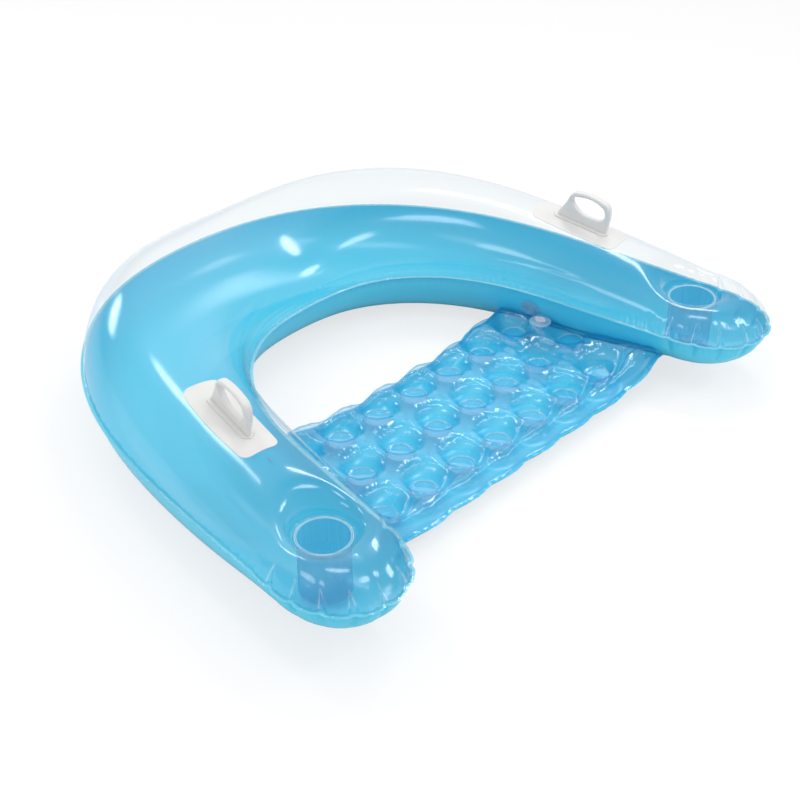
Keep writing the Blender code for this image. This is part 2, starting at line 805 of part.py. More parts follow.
def seat_valve_place():
    """Where the seat's valve stands: half way between two rows of the mattress grid."""
    step = SEAT_ROW_PITCH / SEAT_CELLS_PER_PITCH
    return SEAT_VALVE_X, SEAT_FIRST_ROW_Y - (SEAT_VALVE_ROW + 0.5) * step


def seat_rows():
    """Places of the mattress grid's rows from front to back, with the weld rows among them."""
    step = SEAT_ROW_PITCH / SEAT_CELLS_PER_PITCH
    inner = [SEAT_FIRST_ROW_Y - i * step for i in range(-1, 11)]
    inner = [y for y in inner if SEAT_FRONT_Y + step / 2 < y < SEAT_BACK_Y - step / 2]
    return sorted(inner)


def seat_join(ring, y, stand, upper):
    """The corner where a seat sheet meets the arm's wall, and the tip of the tab that it turns up there."""
    foot, normal = inner_wall(ring, y, SEAT_JOIN_ROW)
    head, _ = inner_wall(ring, y, SEAT_JOIN_ROW - SEAT_TAB_SHARE)
    upwards = (head - foot).normalized()
    slide = GAP * (1 - normal.z) / upwards.z if upper else 0.0
    return foot + normal * stand + upwards * slide, head + normal * stand


def seat_sheet(name, ring, upper, collection, finish):
    """One sheet of the mattress. Its side edges turn up as tabs that are welded to the arms."""
    spots = spot_centres()
    height = SEAT_CROWN if upper else -SEAT_BELLY
    lift = GAP / 2 if upper else -GAP / 2
    stand = 2 * FILM + SEAT_CLEARANCE + (GAP if upper else 0.0)
    column_step = SEAT_PITCH / SEAT_CELLS_PER_PITCH
    levels = [("front", SEAT_FRONT_Y - SEAT_RIM_WIDTH), ("front", SEAT_FRONT_Y)]
    levels += [("middle", y) for y in seat_rows()]
    levels += [("back", SEAT_BACK_Y), ("back", SEAT_BACK_Y + SEAT_RIM_WIDTH)]
    far = SEAT_SWEEP_START + SEAT_SWEEP_RUN
    joins = [seat_join(ring, swept(y, far), stand, upper) for _, y in levels]
    full_columns = int(min(corner.x for corner, _ in joins) / column_step - SEAT_LAST_SHARE)
    points = []
    for (kind, y), (corner, tip) in zip(levels, joins):
        side_x = corner.x - SEAT_RIM_WIDTH
        xs = [column_step * i for i in range(full_columns + 1)]
        xs += [(xs[-1] + side_x) / 2, side_x]
        for x in xs:
            place = swept(y, x)
            if kind == "back":
                place = seat_edge_back(x) + (y - SEAT_BACK_Y)
            if kind == "front":
                place = seat_edge_front(x) + (y - SEAT_FRONT_Y)
            bulge = 0.0
            if kind == "middle":
                if 0 < x < xs[-2] and valve_flatness(x, place) < 1:
                    x, place = onto_spot(x, place, spots)
                bulge = seat_fullness(x, place, side_x, spots)
            rise = (corner.z - SEAT_LEVEL - lift) * smoothstep((x / side_x - 0.7) / 0.3)
            level = SEAT_LEVEL + rise + lift + height * bulge
            if upper:
                level += (SEAT_VALVE_LEVEL - level) * valve_flatness(x, place)
            points.append(Vector((x, place, level)))
        points += [corner, tip]
    faces = seat_faces(points, len(levels), full_columns + 5, spots)
    obj = mesh_object(name, points, faces, collection, finish)
    finish_sheet(obj, upwards=upper)
    return obj


def valve_frame(point, outward, hinge_side):
    """A frame with its Z outwards from the film and its X away from the plug's hinge."""
    x_axis = (hinge_side * -1).cross(outward).cross(outward) * -1
    x_axis = (x_axis - outward * x_axis.dot(outward)).normalized()
    y_axis = outward.cross(x_axis)
    frame = Matrix((x_axis, y_axis, outward)).transposed().to_4x4()
    frame.translation = point
    return frame


def valve(prefix, frame, collection, cutters, sheet, finish, film_finish):
    """A push-in air valve: a flange on the film, a sliding stem, a tethered plug and a check flap."""
    seat = bpy.data.objects.new(f"{prefix}_axis", None)
    collection.objects.link(seat)
    seat.matrix_world = frame
    level = Matrix.Identity(4)
    opening = VALVE_STEM_RADIUS + VALVE_PLAY
    collar = opening + VALVE_COLLAR_WALL
    flange_top = GAP + VALVE_FLANGE_THICKNESS
    collar_top = flange_top + VALVE_COLLAR_HEIGHT - VALVE_FLANGE_THICKNESS
    turned(
        f"{prefix}_base",
        [
            (collar, collar_top),
            (collar, flange_top),
            (VALVE_FLANGE_RADIUS, flange_top),
            (VALVE_FLANGE_RADIUS, GAP),
            (opening, GAP),
            (opening, collar_top),
        ],
        level,
        collection,
        finish,
        VALVE_STEPS,
        seat,
    )
    lip_under = collar_top + GAP
    lip_top = lip_under + VALVE_LIP_THICKNESS
    lip_radius = VALVE_STEM_RADIUS + VALVE_STEM_LIP
    stem_end = lip_top - VALVE_STEM_LENGTH
    turned(
        f"{prefix}_stem",
        [
            (lip_radius, lip_top),
            (lip_radius, lip_under),
            (VALVE_STEM_RADIUS, lip_under),
            (VALVE_STEM_RADIUS, stem_end),
            (VALVE_BORE_RADIUS, stem_end),
            (VALVE_BORE_RADIUS, lip_top),
        ],
        level,
        collection,
        finish,
        VALVE_STEPS,
        seat,
    )
    hinge_level = lip_top + GAP + VALVE_CAP_THICKNESS / 2
    plug = turned(
        f"{prefix}_plug",
        [
            (0.0, lip_top + GAP + VALVE_CAP_THICKNESS),
            (VALVE_CAP_RADIUS, lip_top + GAP + VALVE_CAP_THICKNESS),
            (VALVE_CAP_RADIUS, lip_top + GAP),
            (VALVE_PLUG_TOP_RADIUS, lip_top + GAP),
            (VALVE_PLUG_TIP_RADIUS, lip_top + GAP - VALVE_PLUG_DEPTH),
            (0.0, lip_top + GAP - VALVE_PLUG_DEPTH),
        ],
        level,
        collection,
        finish,
        VALVE_STEPS,
        seat,
        closed=False,
    )
    strap_reach = lip_radius + VALVE_PLAY
    strap = bpy.data.meshes.new(f"{prefix}_strap")
    work = bmesh.new()
    bmesh.ops.create_cube(work, size=1.0)
    work.to_mesh(strap)
    work.free()
    length = strap_reach + VALVE_TAB_REACH
    size = Matrix.Diagonal((length, VALVE_TAB_WIDTH, VALVE_CAP_THICKNESS * 0.8, 1))
    middle = Matrix.Translation(((VALVE_TAB_REACH - strap_reach) / 2, 0, hinge_level))
    strap.transform(middle @ size)
    arm = bpy.data.objects.new(f"{prefix}_strap", strap)
    cutters.objects.link(arm)
    arm.parent = seat
    arm.hide_render = True
    arm.display_type = "WIRE"
    join = plug.modifiers.new("Strap", "BOOLEAN")
    join.operation = "UNION"
    join.object = arm
    pivot_to(plug, Vector((-strap_reach, 0, hinge_level)))
    flap_radius = VALVE_STEM_RADIUS - VALVE_PLAY
    flap_top = stem_end - GAP
    flap = turned(
        f"{prefix}_flap",
        [
            (0.0, flap_top),
            (flap_radius, flap_top),
            (flap_radius, flap_top - VALVE_FLAP_THICKNESS),
            (0.0, flap_top - VALVE_FLAP_THICKNESS),
        ],
        level,
        collection,
        film_finish,
        VALVE_STEPS,
        seat,
        closed=False,
    )
    pivot_to(flap, Vector((-flap_radius, 0, flap_top - VALVE_FLAP_THICKNESS / 2)))
    cut = bpy.data.meshes.new(f"{prefix}_hole")
    work = bmesh.new()
    bmesh.ops.create_cone(
        work,
        cap_ends=True,
        segments=VALVE_STEPS,
        radius1=opening,
        radius2=opening,
        depth=2 * CUT_OVERRUN,
    )
    work.to_mesh(cut)
    work.free()
    cutter = bpy.data.objects.new(f"{prefix}_hole", cut)
    cutters.objects.link(cutter)
    cutter.parent = seat
    cutter.hide_render = True
    cutter.display_type = "WIRE"
    hole = sheet.modifiers.new(f"{prefix}_hole", "BOOLEAN")
    hole.operation = "DIFFERENCE"
    hole.object = cutter


def ring_facet(ring):
    """Middle, outward normal and forward direction of the flat of the ring that its valve stands on."""
    step = ring.cup_station / UNDER_STATIONS
    column = int(ring.station_at_y(RING_VALVE_Y) / step)
    corners = []
    for i, j in ((0, 0), (0, 1), (1, 1), (1, 0)):
        angle = math.pi / 2 * (RING_VALVE_ROW + j) / SECTION_ROWS
        corners.append(ring.wall_point((column + i) * step, -1, angle, False)[0])
    middle = sum(corners, Vector()) / len(corners)
    normal = (corners[2] - corners[0]).cross(corners[3] - corners[1]).normalized()
    if normal.x > 0:
        normal.negate()
    forward = (corners[2] + corners[3] - corners[0] - corners[1]).normalized()
    return middle - Vector((0, 0, GAP / 2)), normal, forward


def pivot_to(obj, pivot):
    """Moves an object's origin to its hinge and leaves its shape where it is."""
    obj.data.transform(Matrix.Translation(-pivot))
    screw = obj.modifiers.get("Turn")
    axis = bpy.data.objects.new(f"{obj.name}_turning_axis", None)
    obj.users_collection[0].objects.link(axis)
    axis.parent = obj.parent
    screw.object = axis
    obj.matrix_local = Matrix.Translation(pivot)


def build():
    clear_scene()
    parts = new_collection("pool_raft")
    cutters = new_collection("cutters")
    clear_film = material("clear_vinyl", (0.92, 0.94, 0.95), 0.08, alpha=0.35)
    blue_film = material("blue_vinyl", (0.10, 0.55, 0.78), 0.12, alpha=0.75)
    white_vinyl = material("white_vinyl", (0.86, 0.86, 0.86), 0.35)
    valve_vinyl = material("valve_vinyl", (0.85, 0.82, 0.85), 0.30)

    ring = Ring()
    upper_sheet(ring, parts, clear_film)
    ring_under = lower_sheet(ring, parts, blue_film)
    seat_top = seat_sheet("seat_upper_sheet", ring, True, parts, clear_film)
    seat_sheet("seat_lower_sheet", ring, False, parts, blue_film)
    centre = cup_centre(ring)
    for name, side in (("left", 1), ("right", -1)):
        place = Vector((side * centre.x, centre.y, 0.0))
        cup_sleeve(f"cup_sleeve_{name}", place, parts, blue_film)
        cup_base(f"cup_base_{name}", place, parts, blue_film)
        handle(name, ring, side, parts, cutters, white_vinyl)

    point, normal, along = ring_facet(ring)
    # The ring's stopper swings towards the back, clear of the seat's valve
    ring_frame = valve_frame(point + normal * (FILM + GAP / 2), normal, along * -1)
    valve("ring_valve", ring_frame, parts, cutters, ring_under, valve_vinyl, blue_film)
    x, y = seat_valve_place()
    seat_point = Vector((x, y, SEAT_VALVE_LEVEL + FILM))
    seat_frame = valve_frame(seat_point, Vector((0, 0, 1)), Vector((0, 1, 0)))
    valve("seat_valve", seat_frame, parts, cutters, seat_top, valve_vinyl, clear_film)


build()
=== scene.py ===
"""Dressed model of an inflatable pool raft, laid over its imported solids.

The films, cup holders and handles are modelled here at full detail and stand for the plain solids of
the frame. The valves' moving pieces keep their solids. All sizes are in metres.
"""

import logging
import math
from dataclasses import dataclass
from enum import Enum
from typing import Sequence

import bmesh
import bpy
import numpy as np
from mathutils import Matrix, Vector


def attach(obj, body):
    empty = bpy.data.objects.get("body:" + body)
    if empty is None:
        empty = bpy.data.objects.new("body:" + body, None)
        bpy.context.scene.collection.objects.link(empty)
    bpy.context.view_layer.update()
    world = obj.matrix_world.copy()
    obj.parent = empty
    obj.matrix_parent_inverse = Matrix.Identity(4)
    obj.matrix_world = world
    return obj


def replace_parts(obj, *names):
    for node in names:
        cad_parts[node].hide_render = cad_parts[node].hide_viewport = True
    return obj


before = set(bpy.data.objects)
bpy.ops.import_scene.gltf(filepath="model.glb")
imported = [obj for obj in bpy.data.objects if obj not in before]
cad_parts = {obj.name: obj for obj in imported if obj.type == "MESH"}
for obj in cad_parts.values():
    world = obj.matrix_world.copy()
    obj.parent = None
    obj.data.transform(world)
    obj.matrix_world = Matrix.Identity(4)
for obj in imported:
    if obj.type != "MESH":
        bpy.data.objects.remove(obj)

log = logging.getLogger("pool_raft")

Points = np.ndarray
WHITE = (1.0, 1.0, 1.0, 1.0)
WELD_GAP = 2e-5


class Side(Enum):
    """The two arms, by the sign of their X."""

    LEFT = 1
    RIGHT = -1

    @property
    def word(self) -> str:
        """The side's word in the frame's names."""
        return self.name.lower()


# Form


class NaturalSpline:
    """A natural cubic spline through one value at each knot, for whole arrays of places."""

    def __init__(self, knots: Points, values: Points) -> None:
        """Solves for the spline's bend at each knot.

        Args:
            knots: the knots' places, in rising order.
            values: the value at each knot.
        """
        self.knots, self.values = np.asarray(knots, float), np.asarray(values, float)
        step = np.diff(self.knots)
        inner = np.arange(1, len(self.knots) - 1)
        system, right = np.eye(len(self.knots)), np.zeros(len(self.knots))
        system[inner, inner - 1], system[inner, inner + 1] = step[:-1], step[1:]
        system[inner, inner] = 2 * (step[:-1] + step[1:])
        right[1:-1] = 6 * np.diff(np.diff(self.values) / step)
        self.bend = np.linalg.solve(system, right)

    def _place(self, t: Points) -> tuple:
        """Finds the span of each place.

        Args:
            t: the places.

        Returns:
            The span's number and length, and the shares of the span after and before the place.
        """
        t = np.asarray(t, float)
        i = np.clip(np.searchsorted(self.knots, t) - 1, 0, len(self.knots) - 2)
        step = self.knots[i + 1] - self.knots[i]
        after = (t - self.knots[i]) / step
        return i, step, 1 - after, after

    def value(self, t: Points) -> Points:
        """The spline's value at each place t.

        Args:
            t: the places.

        Returns:
            The values.
        """
        i, step, a, b = self._place(t)
        curve = (a**3 - a) * self.bend[i] + (b**3 - b) * self.bend[i + 1]
        return a * self.values[i] + b * self.values[i + 1] + curve * step**2 / 6

    def slope(self, t: Points) -> Points:
        """The spline's slope at each place t.

        Args:
            t: the places.

        Returns:
            The slopes.
        """
        i, step, a, b = self._place(t)
        rise = (self.values[i + 1] - self.values[i]) / step
        curve = (3 * b**2 - 1) * self.bend[i + 1] - (3 * a**2 - 1) * self.bend[i]
        return rise + curve * step / 6


def smoothstep(share: Points) -> Points:
    """0 to 1 with a level start and end."""
    share = np.clip(share, 0.0, 1.0)
    return share * share * (3 - 2 * share)


def unit(vectors: Points) -> Points:
    """The vectors at length 1."""
    return vectors / np.maximum(np.linalg.norm(vectors, axis=-1, keepdims=True), 1e-12)


@dataclass(frozen=True)
class Swell:
    """A smooth random field, added up from plane waves.

    Attributes:
        size: about the greatest value.
        wavelength: the mean distance between crests.
        seed: the random seed.
        waves: how many waves are added up.
    """

    size: float
    wavelength: float
    seed: int
    waves: int = 7

    def at(self, points: Points) -> Points:
        """The field's value.

        Args:
            points: places, with the coordinates on the last axis.

        Returns:
            The value at each place.
        """
        dice = np.random.default_rng(self.seed)
        total = np.zeros(points.shape[:-1])
        for _ in range(self.waves):
            heading = unit(dice.normal(size=points.shape[-1]))
            pitch = self.wavelength * dice.uniform(0.7, 1.5)
            total += np.sin(points @ heading * (2 * math.pi / pitch) + dice.uniform(0, 2 * math.pi))
        return self.size * total / math.sqrt(self.waves) * 0.8


def bell(x: Points, width: float) -> Points:
    """A bell curve of the given half width."""
    return np.exp(-((np.asarray(x) / width) ** 2))


@dataclass(frozen=True)
class RingForm:
    """The horseshoe tube's form: a spine in plan with a width, a crown and a depth along it.

    Attributes:
        spread: half the distance between the spine's ends.
        reach: how far the back of the spine lies behind them.
        back_half_width: half the tube's width at the back.
        crown_height: the crown's greatest height over the seam.
        seam_height: the height of the seam.
        floor_press: how much deeper the round tube would be if the floor didn't flatten it.
        rim_width: the width of the flat weld outside the seam.
        cap_length: the length of the rounded end from the cup holder's middle.
        arm_trim: how much of the spine's end the tube leaves out.
        cap_round: the power of the rounded end's outline, where 2 is an ellipse.
        shift: how far the spine is moved in Y, to put the raft in the middle of the frame.
        arm_from: the station from which the inner wall is part of an arm.
        spine_steps: the steps in which the spine is searched.
        wall_steps: the steps in which the inner wall is.
        spine_shares: the spine's points, from the back to its end, as shares of spread and reach.
        width_shares: the half width at each, as shares of the back's.
        crown_shares: the crown at each, as shares of its greatest height.
        depth_shares: the depth at each, as shares of the seam's height with the press.
    """

    spread: float = 0.567
    reach: float = 0.992
    back_half_width: float = 0.197
    crown_height: float = 0.165
    seam_height: float = 0.135
    floor_press: float = 0.0035
    rim_width: float = 0.007
    cap_length: float = 0.167
    arm_trim: float = 0.020
    cap_round: float = 2.15
    shift: float = -0.60384
    arm_from: float = 0.15
    spine_steps: int = 4000
    wall_steps: int = 1500
    spine_shares: tuple = (
        (0.000, 1.000),
        (0.330, 0.969),
        (0.589, 0.870),
        (0.769, 0.720),
        (0.866, 0.543),
        (0.914, 0.361),
        (0.956, 0.188),
        (1.000, 0.000),
    )
    width_shares: tuple = (1.00, 0.97, 0.88, 0.77, 0.685, 0.65, 0.62, 0.64)
    crown_shares: tuple = (0.80, 0.94, 1.00, 0.93, 0.80, 0.66, 0.54, 0.47)
    depth_shares: tuple = (1.00, 1.00, 1.00, 1.00, 1.00, 0.93, 0.70, 0.55)


class Ring:
    """The tube's form as functions of the station along its spine, on the left arm (X > 0)."""

    def __init__(self, form: RingForm) -> None:
        """Lays the splines through the form's shares, mirrored to both arms.

        Args:
            form: the tube's form.
        """
        self.form = form
        half = [(x * form.spread, y * form.reach) for x, y in form.spine_shares]
        line = np.array([(-x, y) for x, y in reversed(half[1:])] + half)
        knots = np.concatenate([[0.0], np.cumsum(np.linalg.norm(np.diff(line, axis=0), axis=1))])
        knots -= knots[-1] / 2

        def mirrored(shares: Sequence[float], size: float) -> NaturalSpline:
            """A spline through shares of a size, alike on both arms."""
            values = [share * size for share in shares]
            return NaturalSpline(knots, values[:0:-1] + values)

        self._x, self._y = NaturalSpline(knots, line[:, 0]), NaturalSpline(knots, line[:, 1])
        self._width = mirrored(form.width_shares, form.back_half_width)
        self._crown = mirrored(form.crown_shares, form.crown_height)
        self._depth = mirrored(form.depth_shares, form.seam_height + form.floor_press)
        self.end = knots[-1] - form.arm_trim
        self.cup = self.end - form.cap_length

    def spine(self, s: Points) -> Points:
        """Plan points of the spine."""
        return np.stack([self._x.value(s), self._y.value(s) + self.form.shift], -1)

    def along(self, s: Points) -> Points:
        """Plan directions of the spine."""
        return unit(np.stack([self._x.slope(s), self._y.slope(s)], -1))

    def outward(self, s: Points) -> Points:
        """Plan directions across the spine, to the outer side."""
        along = self.along(s)
        return np.stack([-along[..., 1], along[..., 0]], -1)

    def width(self, s: Points) -> Points:
        """Half width of the tube."""
        return self._width.value(s)

    def crown(self, s: Points) -> Points:
        """Height of the crown over the seam."""
        return self._crown.value(np.minimum(s, self.end))

    def depth(self, s: Points) -> Points:
        """Depth of the tube under the seam."""
        return self._depth.value(s)

    def cup_centre(self) -> Points:
        """Plan centre of the left arm's cup holder."""
        return self.spine(np.array(self.cup))

    def cap_rim(self, share: Points, side: Points) -> tuple:
        """Rim points of the rounded end, at angle shares from 0 at the cup to 1 at the tip.

        Args:
            share: angle shares, from 0 at the cup holder to 1 at the tip.
            side: 1 for the outer side, -1 for the inner side.

        Returns:
            The points in plan, and the station of each.
        """
        angle = share * math.pi / 2
        power = 2 / self.form.cap_round
        s = self.cup + self.form.cap_length * np.sin(angle) ** power
        reach = np.maximum(np.cos(angle), 0.0) ** power
        s = np.where(share >= 1.0, self.end, s)
        reach = np.where(share >= 1.0, 0.0, reach)
        offset = self.outward(s) * (side * reach * self.width(s))[..., None]
        return self.spine(s) + offset, s

    def arm_rim(self, s: Points, side: Points) -> Points:
        """Rim points of the arm."""
        return self.spine(s) + self.outward(s) * (side * self.width(s))[..., None]

    def station_at_y(self, y: float) -> float:
        """The station whose spine point has this y."""
        stations = np.linspace(0.0, self.end, self.form.spine_steps)
        return float(np.interp(-y, -self.spine(stations)[:, 1], stations))

    def inner_wall_x(self, y: Points, z: float) -> Points:
        """X of the lower film's inner side at these y and one height.

        Args:
            y: the Y of each place.
            z: their height, under the seam.

        Returns:
            The X at each y.
        """
        stations = np.linspace(self.form.arm_from, self.cup, self.form.wall_steps)
        depth = self.depth(stations)
        sine = np.clip((self.form.seam_height - z) / depth, 0.0, 1.0)
        reach = self.width(stations) * np.sqrt(1 - sine**2)
        line = self.spine(stations) - self.outward(stations) * reach[:, None]
        order = np.argsort(line[:, 1])
        return np.interp(y, line[order, 1], line[order, 0])


# Meshes


def grid_faces(columns: int, rows: int, keep: Points | None = None) -> Points:
    """Quads of a grid whose points are numbered column by column.

    Args:
        columns: number of columns.
        rows: number of rows.
        keep: optional array (columns - 1, rows - 1) that is true where a quad is wanted.

    Returns:
        An array of four point numbers for each quad.
    """
    a = (np.arange(columns - 1)[:, None] * rows + np.arange(rows - 1)[None, :]).astype(int)
    quads = np.stack([a, a + 1, a + rows + 1, a + rows], -1)
    return quads[keep] if keep is not None else quads.reshape(-1, 4)


class Skin:
    """A film or shell that is put together from grids of points, then welded into one mesh."""

    def __init__(self, name: str) -> None:
        """Starts an empty skin.

        Args:
            name: the piece's name.
        """
        self.name = name
        self._points: list = []
        self._faces: list = []
        self._values: dict = {}
        self._count = 0

    def add(self, grid: Points, faces_up: bool = True, keep: Points | None = None, **values: Points) -> None:
        """Adds a grid (columns, rows, 3), facing up or down on the whole.

        Args:
            grid: the points.
            faces_up: whether its faces look up on the whole.
            keep: optional array that is true where a quad is wanted.
            **values: values at its points that become attributes.
        """
        columns, rows = grid.shape[:2]
        turn = np.cross(grid[:-1, 1:] - grid[:-1, :-1], grid[1:, :-1] - grid[:-1, :-1])[..., 2]
        flip = (np.nansum(turn) > 0) != faces_up
        faces = grid_faces(columns, rows, keep) + self._count
        self._faces.append(faces[:, ::-1] if flip else faces)
        self._points.append(grid.reshape(-1, 3))
        for key, value in values.items():
            self._values.setdefault(key, []).append(np.broadcast_to(value, (columns, rows)).reshape(-1))
        self._count += columns * rows

    def build(self, finish: bpy.types.Material, slot: str, solid: str) -> bpy.types.Object:
        """Makes the object: welds its grids, smooths it and puts it in the place of a solid.

        Args:
            finish: its material.
            slot: not used.
            solid: the frame's node that it stands for.

        Returns:
            The object.
        """
        mesh = bpy.data.meshes.new(self.name)
        points = np.concatenate(self._points)
        faces = np.concatenate(self._faces)
        mesh.vertices.add(len(points))
        mesh.vertices.foreach_set("co", points.astype(np.float32).ravel())
        mesh.loops.add(faces.size)
        mesh.loops.foreach_set("vertex_index", faces.astype(np.int32).ravel())
        mesh.polygons.add(len(faces))
        mesh.polygons.foreach_set("loop_start", np.arange(0, faces.size, 4, dtype=np.int32))
        mesh.update(calc_edges=True)
        for key, parts in self._values.items():
            layer = mesh.attributes.new(key, "FLOAT", "POINT")
            layer.data.foreach_set("value", np.concatenate(parts).astype(np.float32))
        work = bmesh.new()
        work.from_mesh(mesh)
        bmesh.ops.remove_doubles(work, verts=work.verts, dist=WELD_GAP)
        bmesh.ops.dissolve_degenerate(work, edges=work.edges, dist=WELD_GAP / 4)
        loose = [v for v in work.verts if not v.link_faces]
        bmesh.ops.delete(work, geom=loose, context="VERTS")
        work.to_mesh(mesh)
        work.free()
        mesh.shade_smooth()
        obj = place(bpy.data.objects.new(self.name, mesh), finish)
        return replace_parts(obj, solid)


def place(obj: bpy.types.Object, finish: bpy.types.Material) -> bpy.types.Object:
    """Links an object to the scene with its finish, and lets it ride on the raft.

    Args:
        obj: the object.
        finish: its material.

    Returns:
        The object.
    """
    bpy.context.scene.collection.objects.link(obj)
    obj.data.materials.clear()
    obj.data.materials.append(finish)
    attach(obj, "raft")
    return obj


def finished(name: str, finish: bpy.types.Material) -> bpy.types.Object:
    """Gives a solid of the frame its material.

    Args:
        name: the frame's node.
        finish: the material.

    Returns:
        The solid's object.
    """
    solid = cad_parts[name]
    solid.data.materials.clear()
    solid.data.materials.append(finish)
    return solid


def grid_normals(grid: Points, up: float) -> Points:
    """Normals of a grid of points that starts on the plane of symmetry, up or down on the whole.

    Args:
        grid: the points.
        up: 1 for normals that point up on the whole, -1 for down.

    Returns:
        A unit normal for each point.
    """
    normals = unit(np.cross(np.gradient(grid, axis=0), np.gradient(grid, axis=1)))
    normals *= up * np.sign(np.sum(normals[..., 2]))
    normals[0, :, 0] = 0.0
    return unit(normals)


def running_length(points: Points, axis: int) -> Points:
    """The length up to each point along the lines of points on one axis."""
    steps = np.diff(points, axis=axis, prepend=points.take([0], axis))
    return np.cumsum(np.linalg.norm(steps, axis=-1), axis=axis)


# Finishes


class Nodes:
    """A short way to write the nodes of a material, a world or a modifier's tree."""

    def __init__(self, owner: bpy.types.ID, output: str = "ShaderNodeOutputMaterial") -> None:
        """Clears the owner's nodes and adds its output.

        Args:
            owner: the material, the world or the tree.
            output: the kind of its output node.
        """
        self.owner = self.tree = owner
        if not isinstance(owner, bpy.types.NodeTree):
            owner.use_nodes = True
            self.tree = owner.node_tree
        self.tree.nodes.clear()
        self.output = self.tree.nodes.new(output)

    @classmethod
    def of_material(cls, name: str) -> "Nodes":
        """The nodes of a new material."""
        return cls(bpy.data.materials.new(name))

    def add(self, kind: str, inputs: dict | None = None, **settings: object) -> bpy.types.Node:
        """Adds a node. Inputs are values, or sockets to link from.

        Args:
            kind: its kind.
            inputs: values for its inputs, or sockets to link them to.
            **settings: its own settings.

        Returns:
            The node.
        """
        node = self.tree.nodes.new(kind)
        for key, value in settings.items():
            setattr(node, key, value)
        for key, value in (inputs or {}).items():
            socket = node.inputs[key]
            if isinstance(value, bpy.types.NodeSocket):
                self.tree.links.new(value, socket)
            else:
                socket.default_value = value
        return node

    def value(self, name: str) -> bpy.types.NodeSocket:
        """A mesh attribute's value."""
        return self.add("ShaderNodeAttribute", attribute_name=name).outputs["Fac"]

    def math(self, operation: str, a: object, b: object = 0.0, clamp: bool = False) -> bpy.types.NodeSocket:
        """A math node's result."""
        node = self.add("ShaderNodeMath", {0: a, 1: b}, operation=operation, use_clamp=clamp)
        return node.outputs[0]

    def facing(self, normal: bpy.types.NodeSocket | None = None) -> bpy.types.NodeSocket:
        """How far the surface turns away from the eye, from 0 square on to 1 edge on."""
        inputs = {"Blend": 0.5} if normal is None else {"Blend": 0.5, "Normal": normal}
        return self.add("ShaderNodeLayerWeight", inputs).outputs["Facing"]

    def bell(self, value: object, centre: float, width: float) -> bpy.types.NodeSocket:
        """A bell curve of a value."""
        off = self.math("DIVIDE", self.math("SUBTRACT", value, centre), width)
        return self.math("EXPONENT", self.math("MULTIPLY", self.math("MULTIPLY", off, off), -1.0))

    def edge_gloss(self, turned: object, facing: float, grazing: float) -> bpy.types.NodeSocket:
        """The share of light that a film mirrors, which rises steeply towards its edges.

        Args:
            turned: how far the surface turns away from the eye.
            facing: the share square on.
            grazing: the share edge on.

        Returns:
            The share.
        """
        rise = self.math("POWER", turned, 5.0)
        rise = self.math("MULTIPLY", rise, grazing - facing)
        return self.math("ADD", rise, facing, clamp=True)

    def mix(self, share: object, under: bpy.types.Node, over: bpy.types.Node) -> bpy.types.Node:
        """Two shaders mixed by the share of the second."""
        return self.add("ShaderNodeMixShader", {0: share, 1: under.outputs[0], 2: over.outputs[0]})

    def vinyl(self, colour: tuple, roughness: float, share: object, tint: tuple) -> bpy.types.Material:
        """Vinyl of which a share is opaque, while the rest lets tinted light through.

        Args:
            colour: its colour.
            roughness: how soft its gloss is.
            share: the opaque share, as a value or a socket.
            tint: the light that comes through the rest.

        Returns:
            The material.
        """
        look = {"Base Color": colour, "Roughness": roughness, "IOR": 1.45}
        body = self.add("ShaderNodeBsdfPrincipled", look)
        if share == 1.0:
            return self.finish(body.outputs[0])
        through = self.add("ShaderNodeBsdfTransparent", {"Color": tint})
        return self.finish(self.mix(share, through, body).outputs[0])

    def finish(self, result: bpy.types.NodeSocket) -> bpy.types.ID:
        """Links the result to the output and returns what the nodes belong to."""
        self.tree.links.new(result, self.output.inputs[0])
        return self.owner


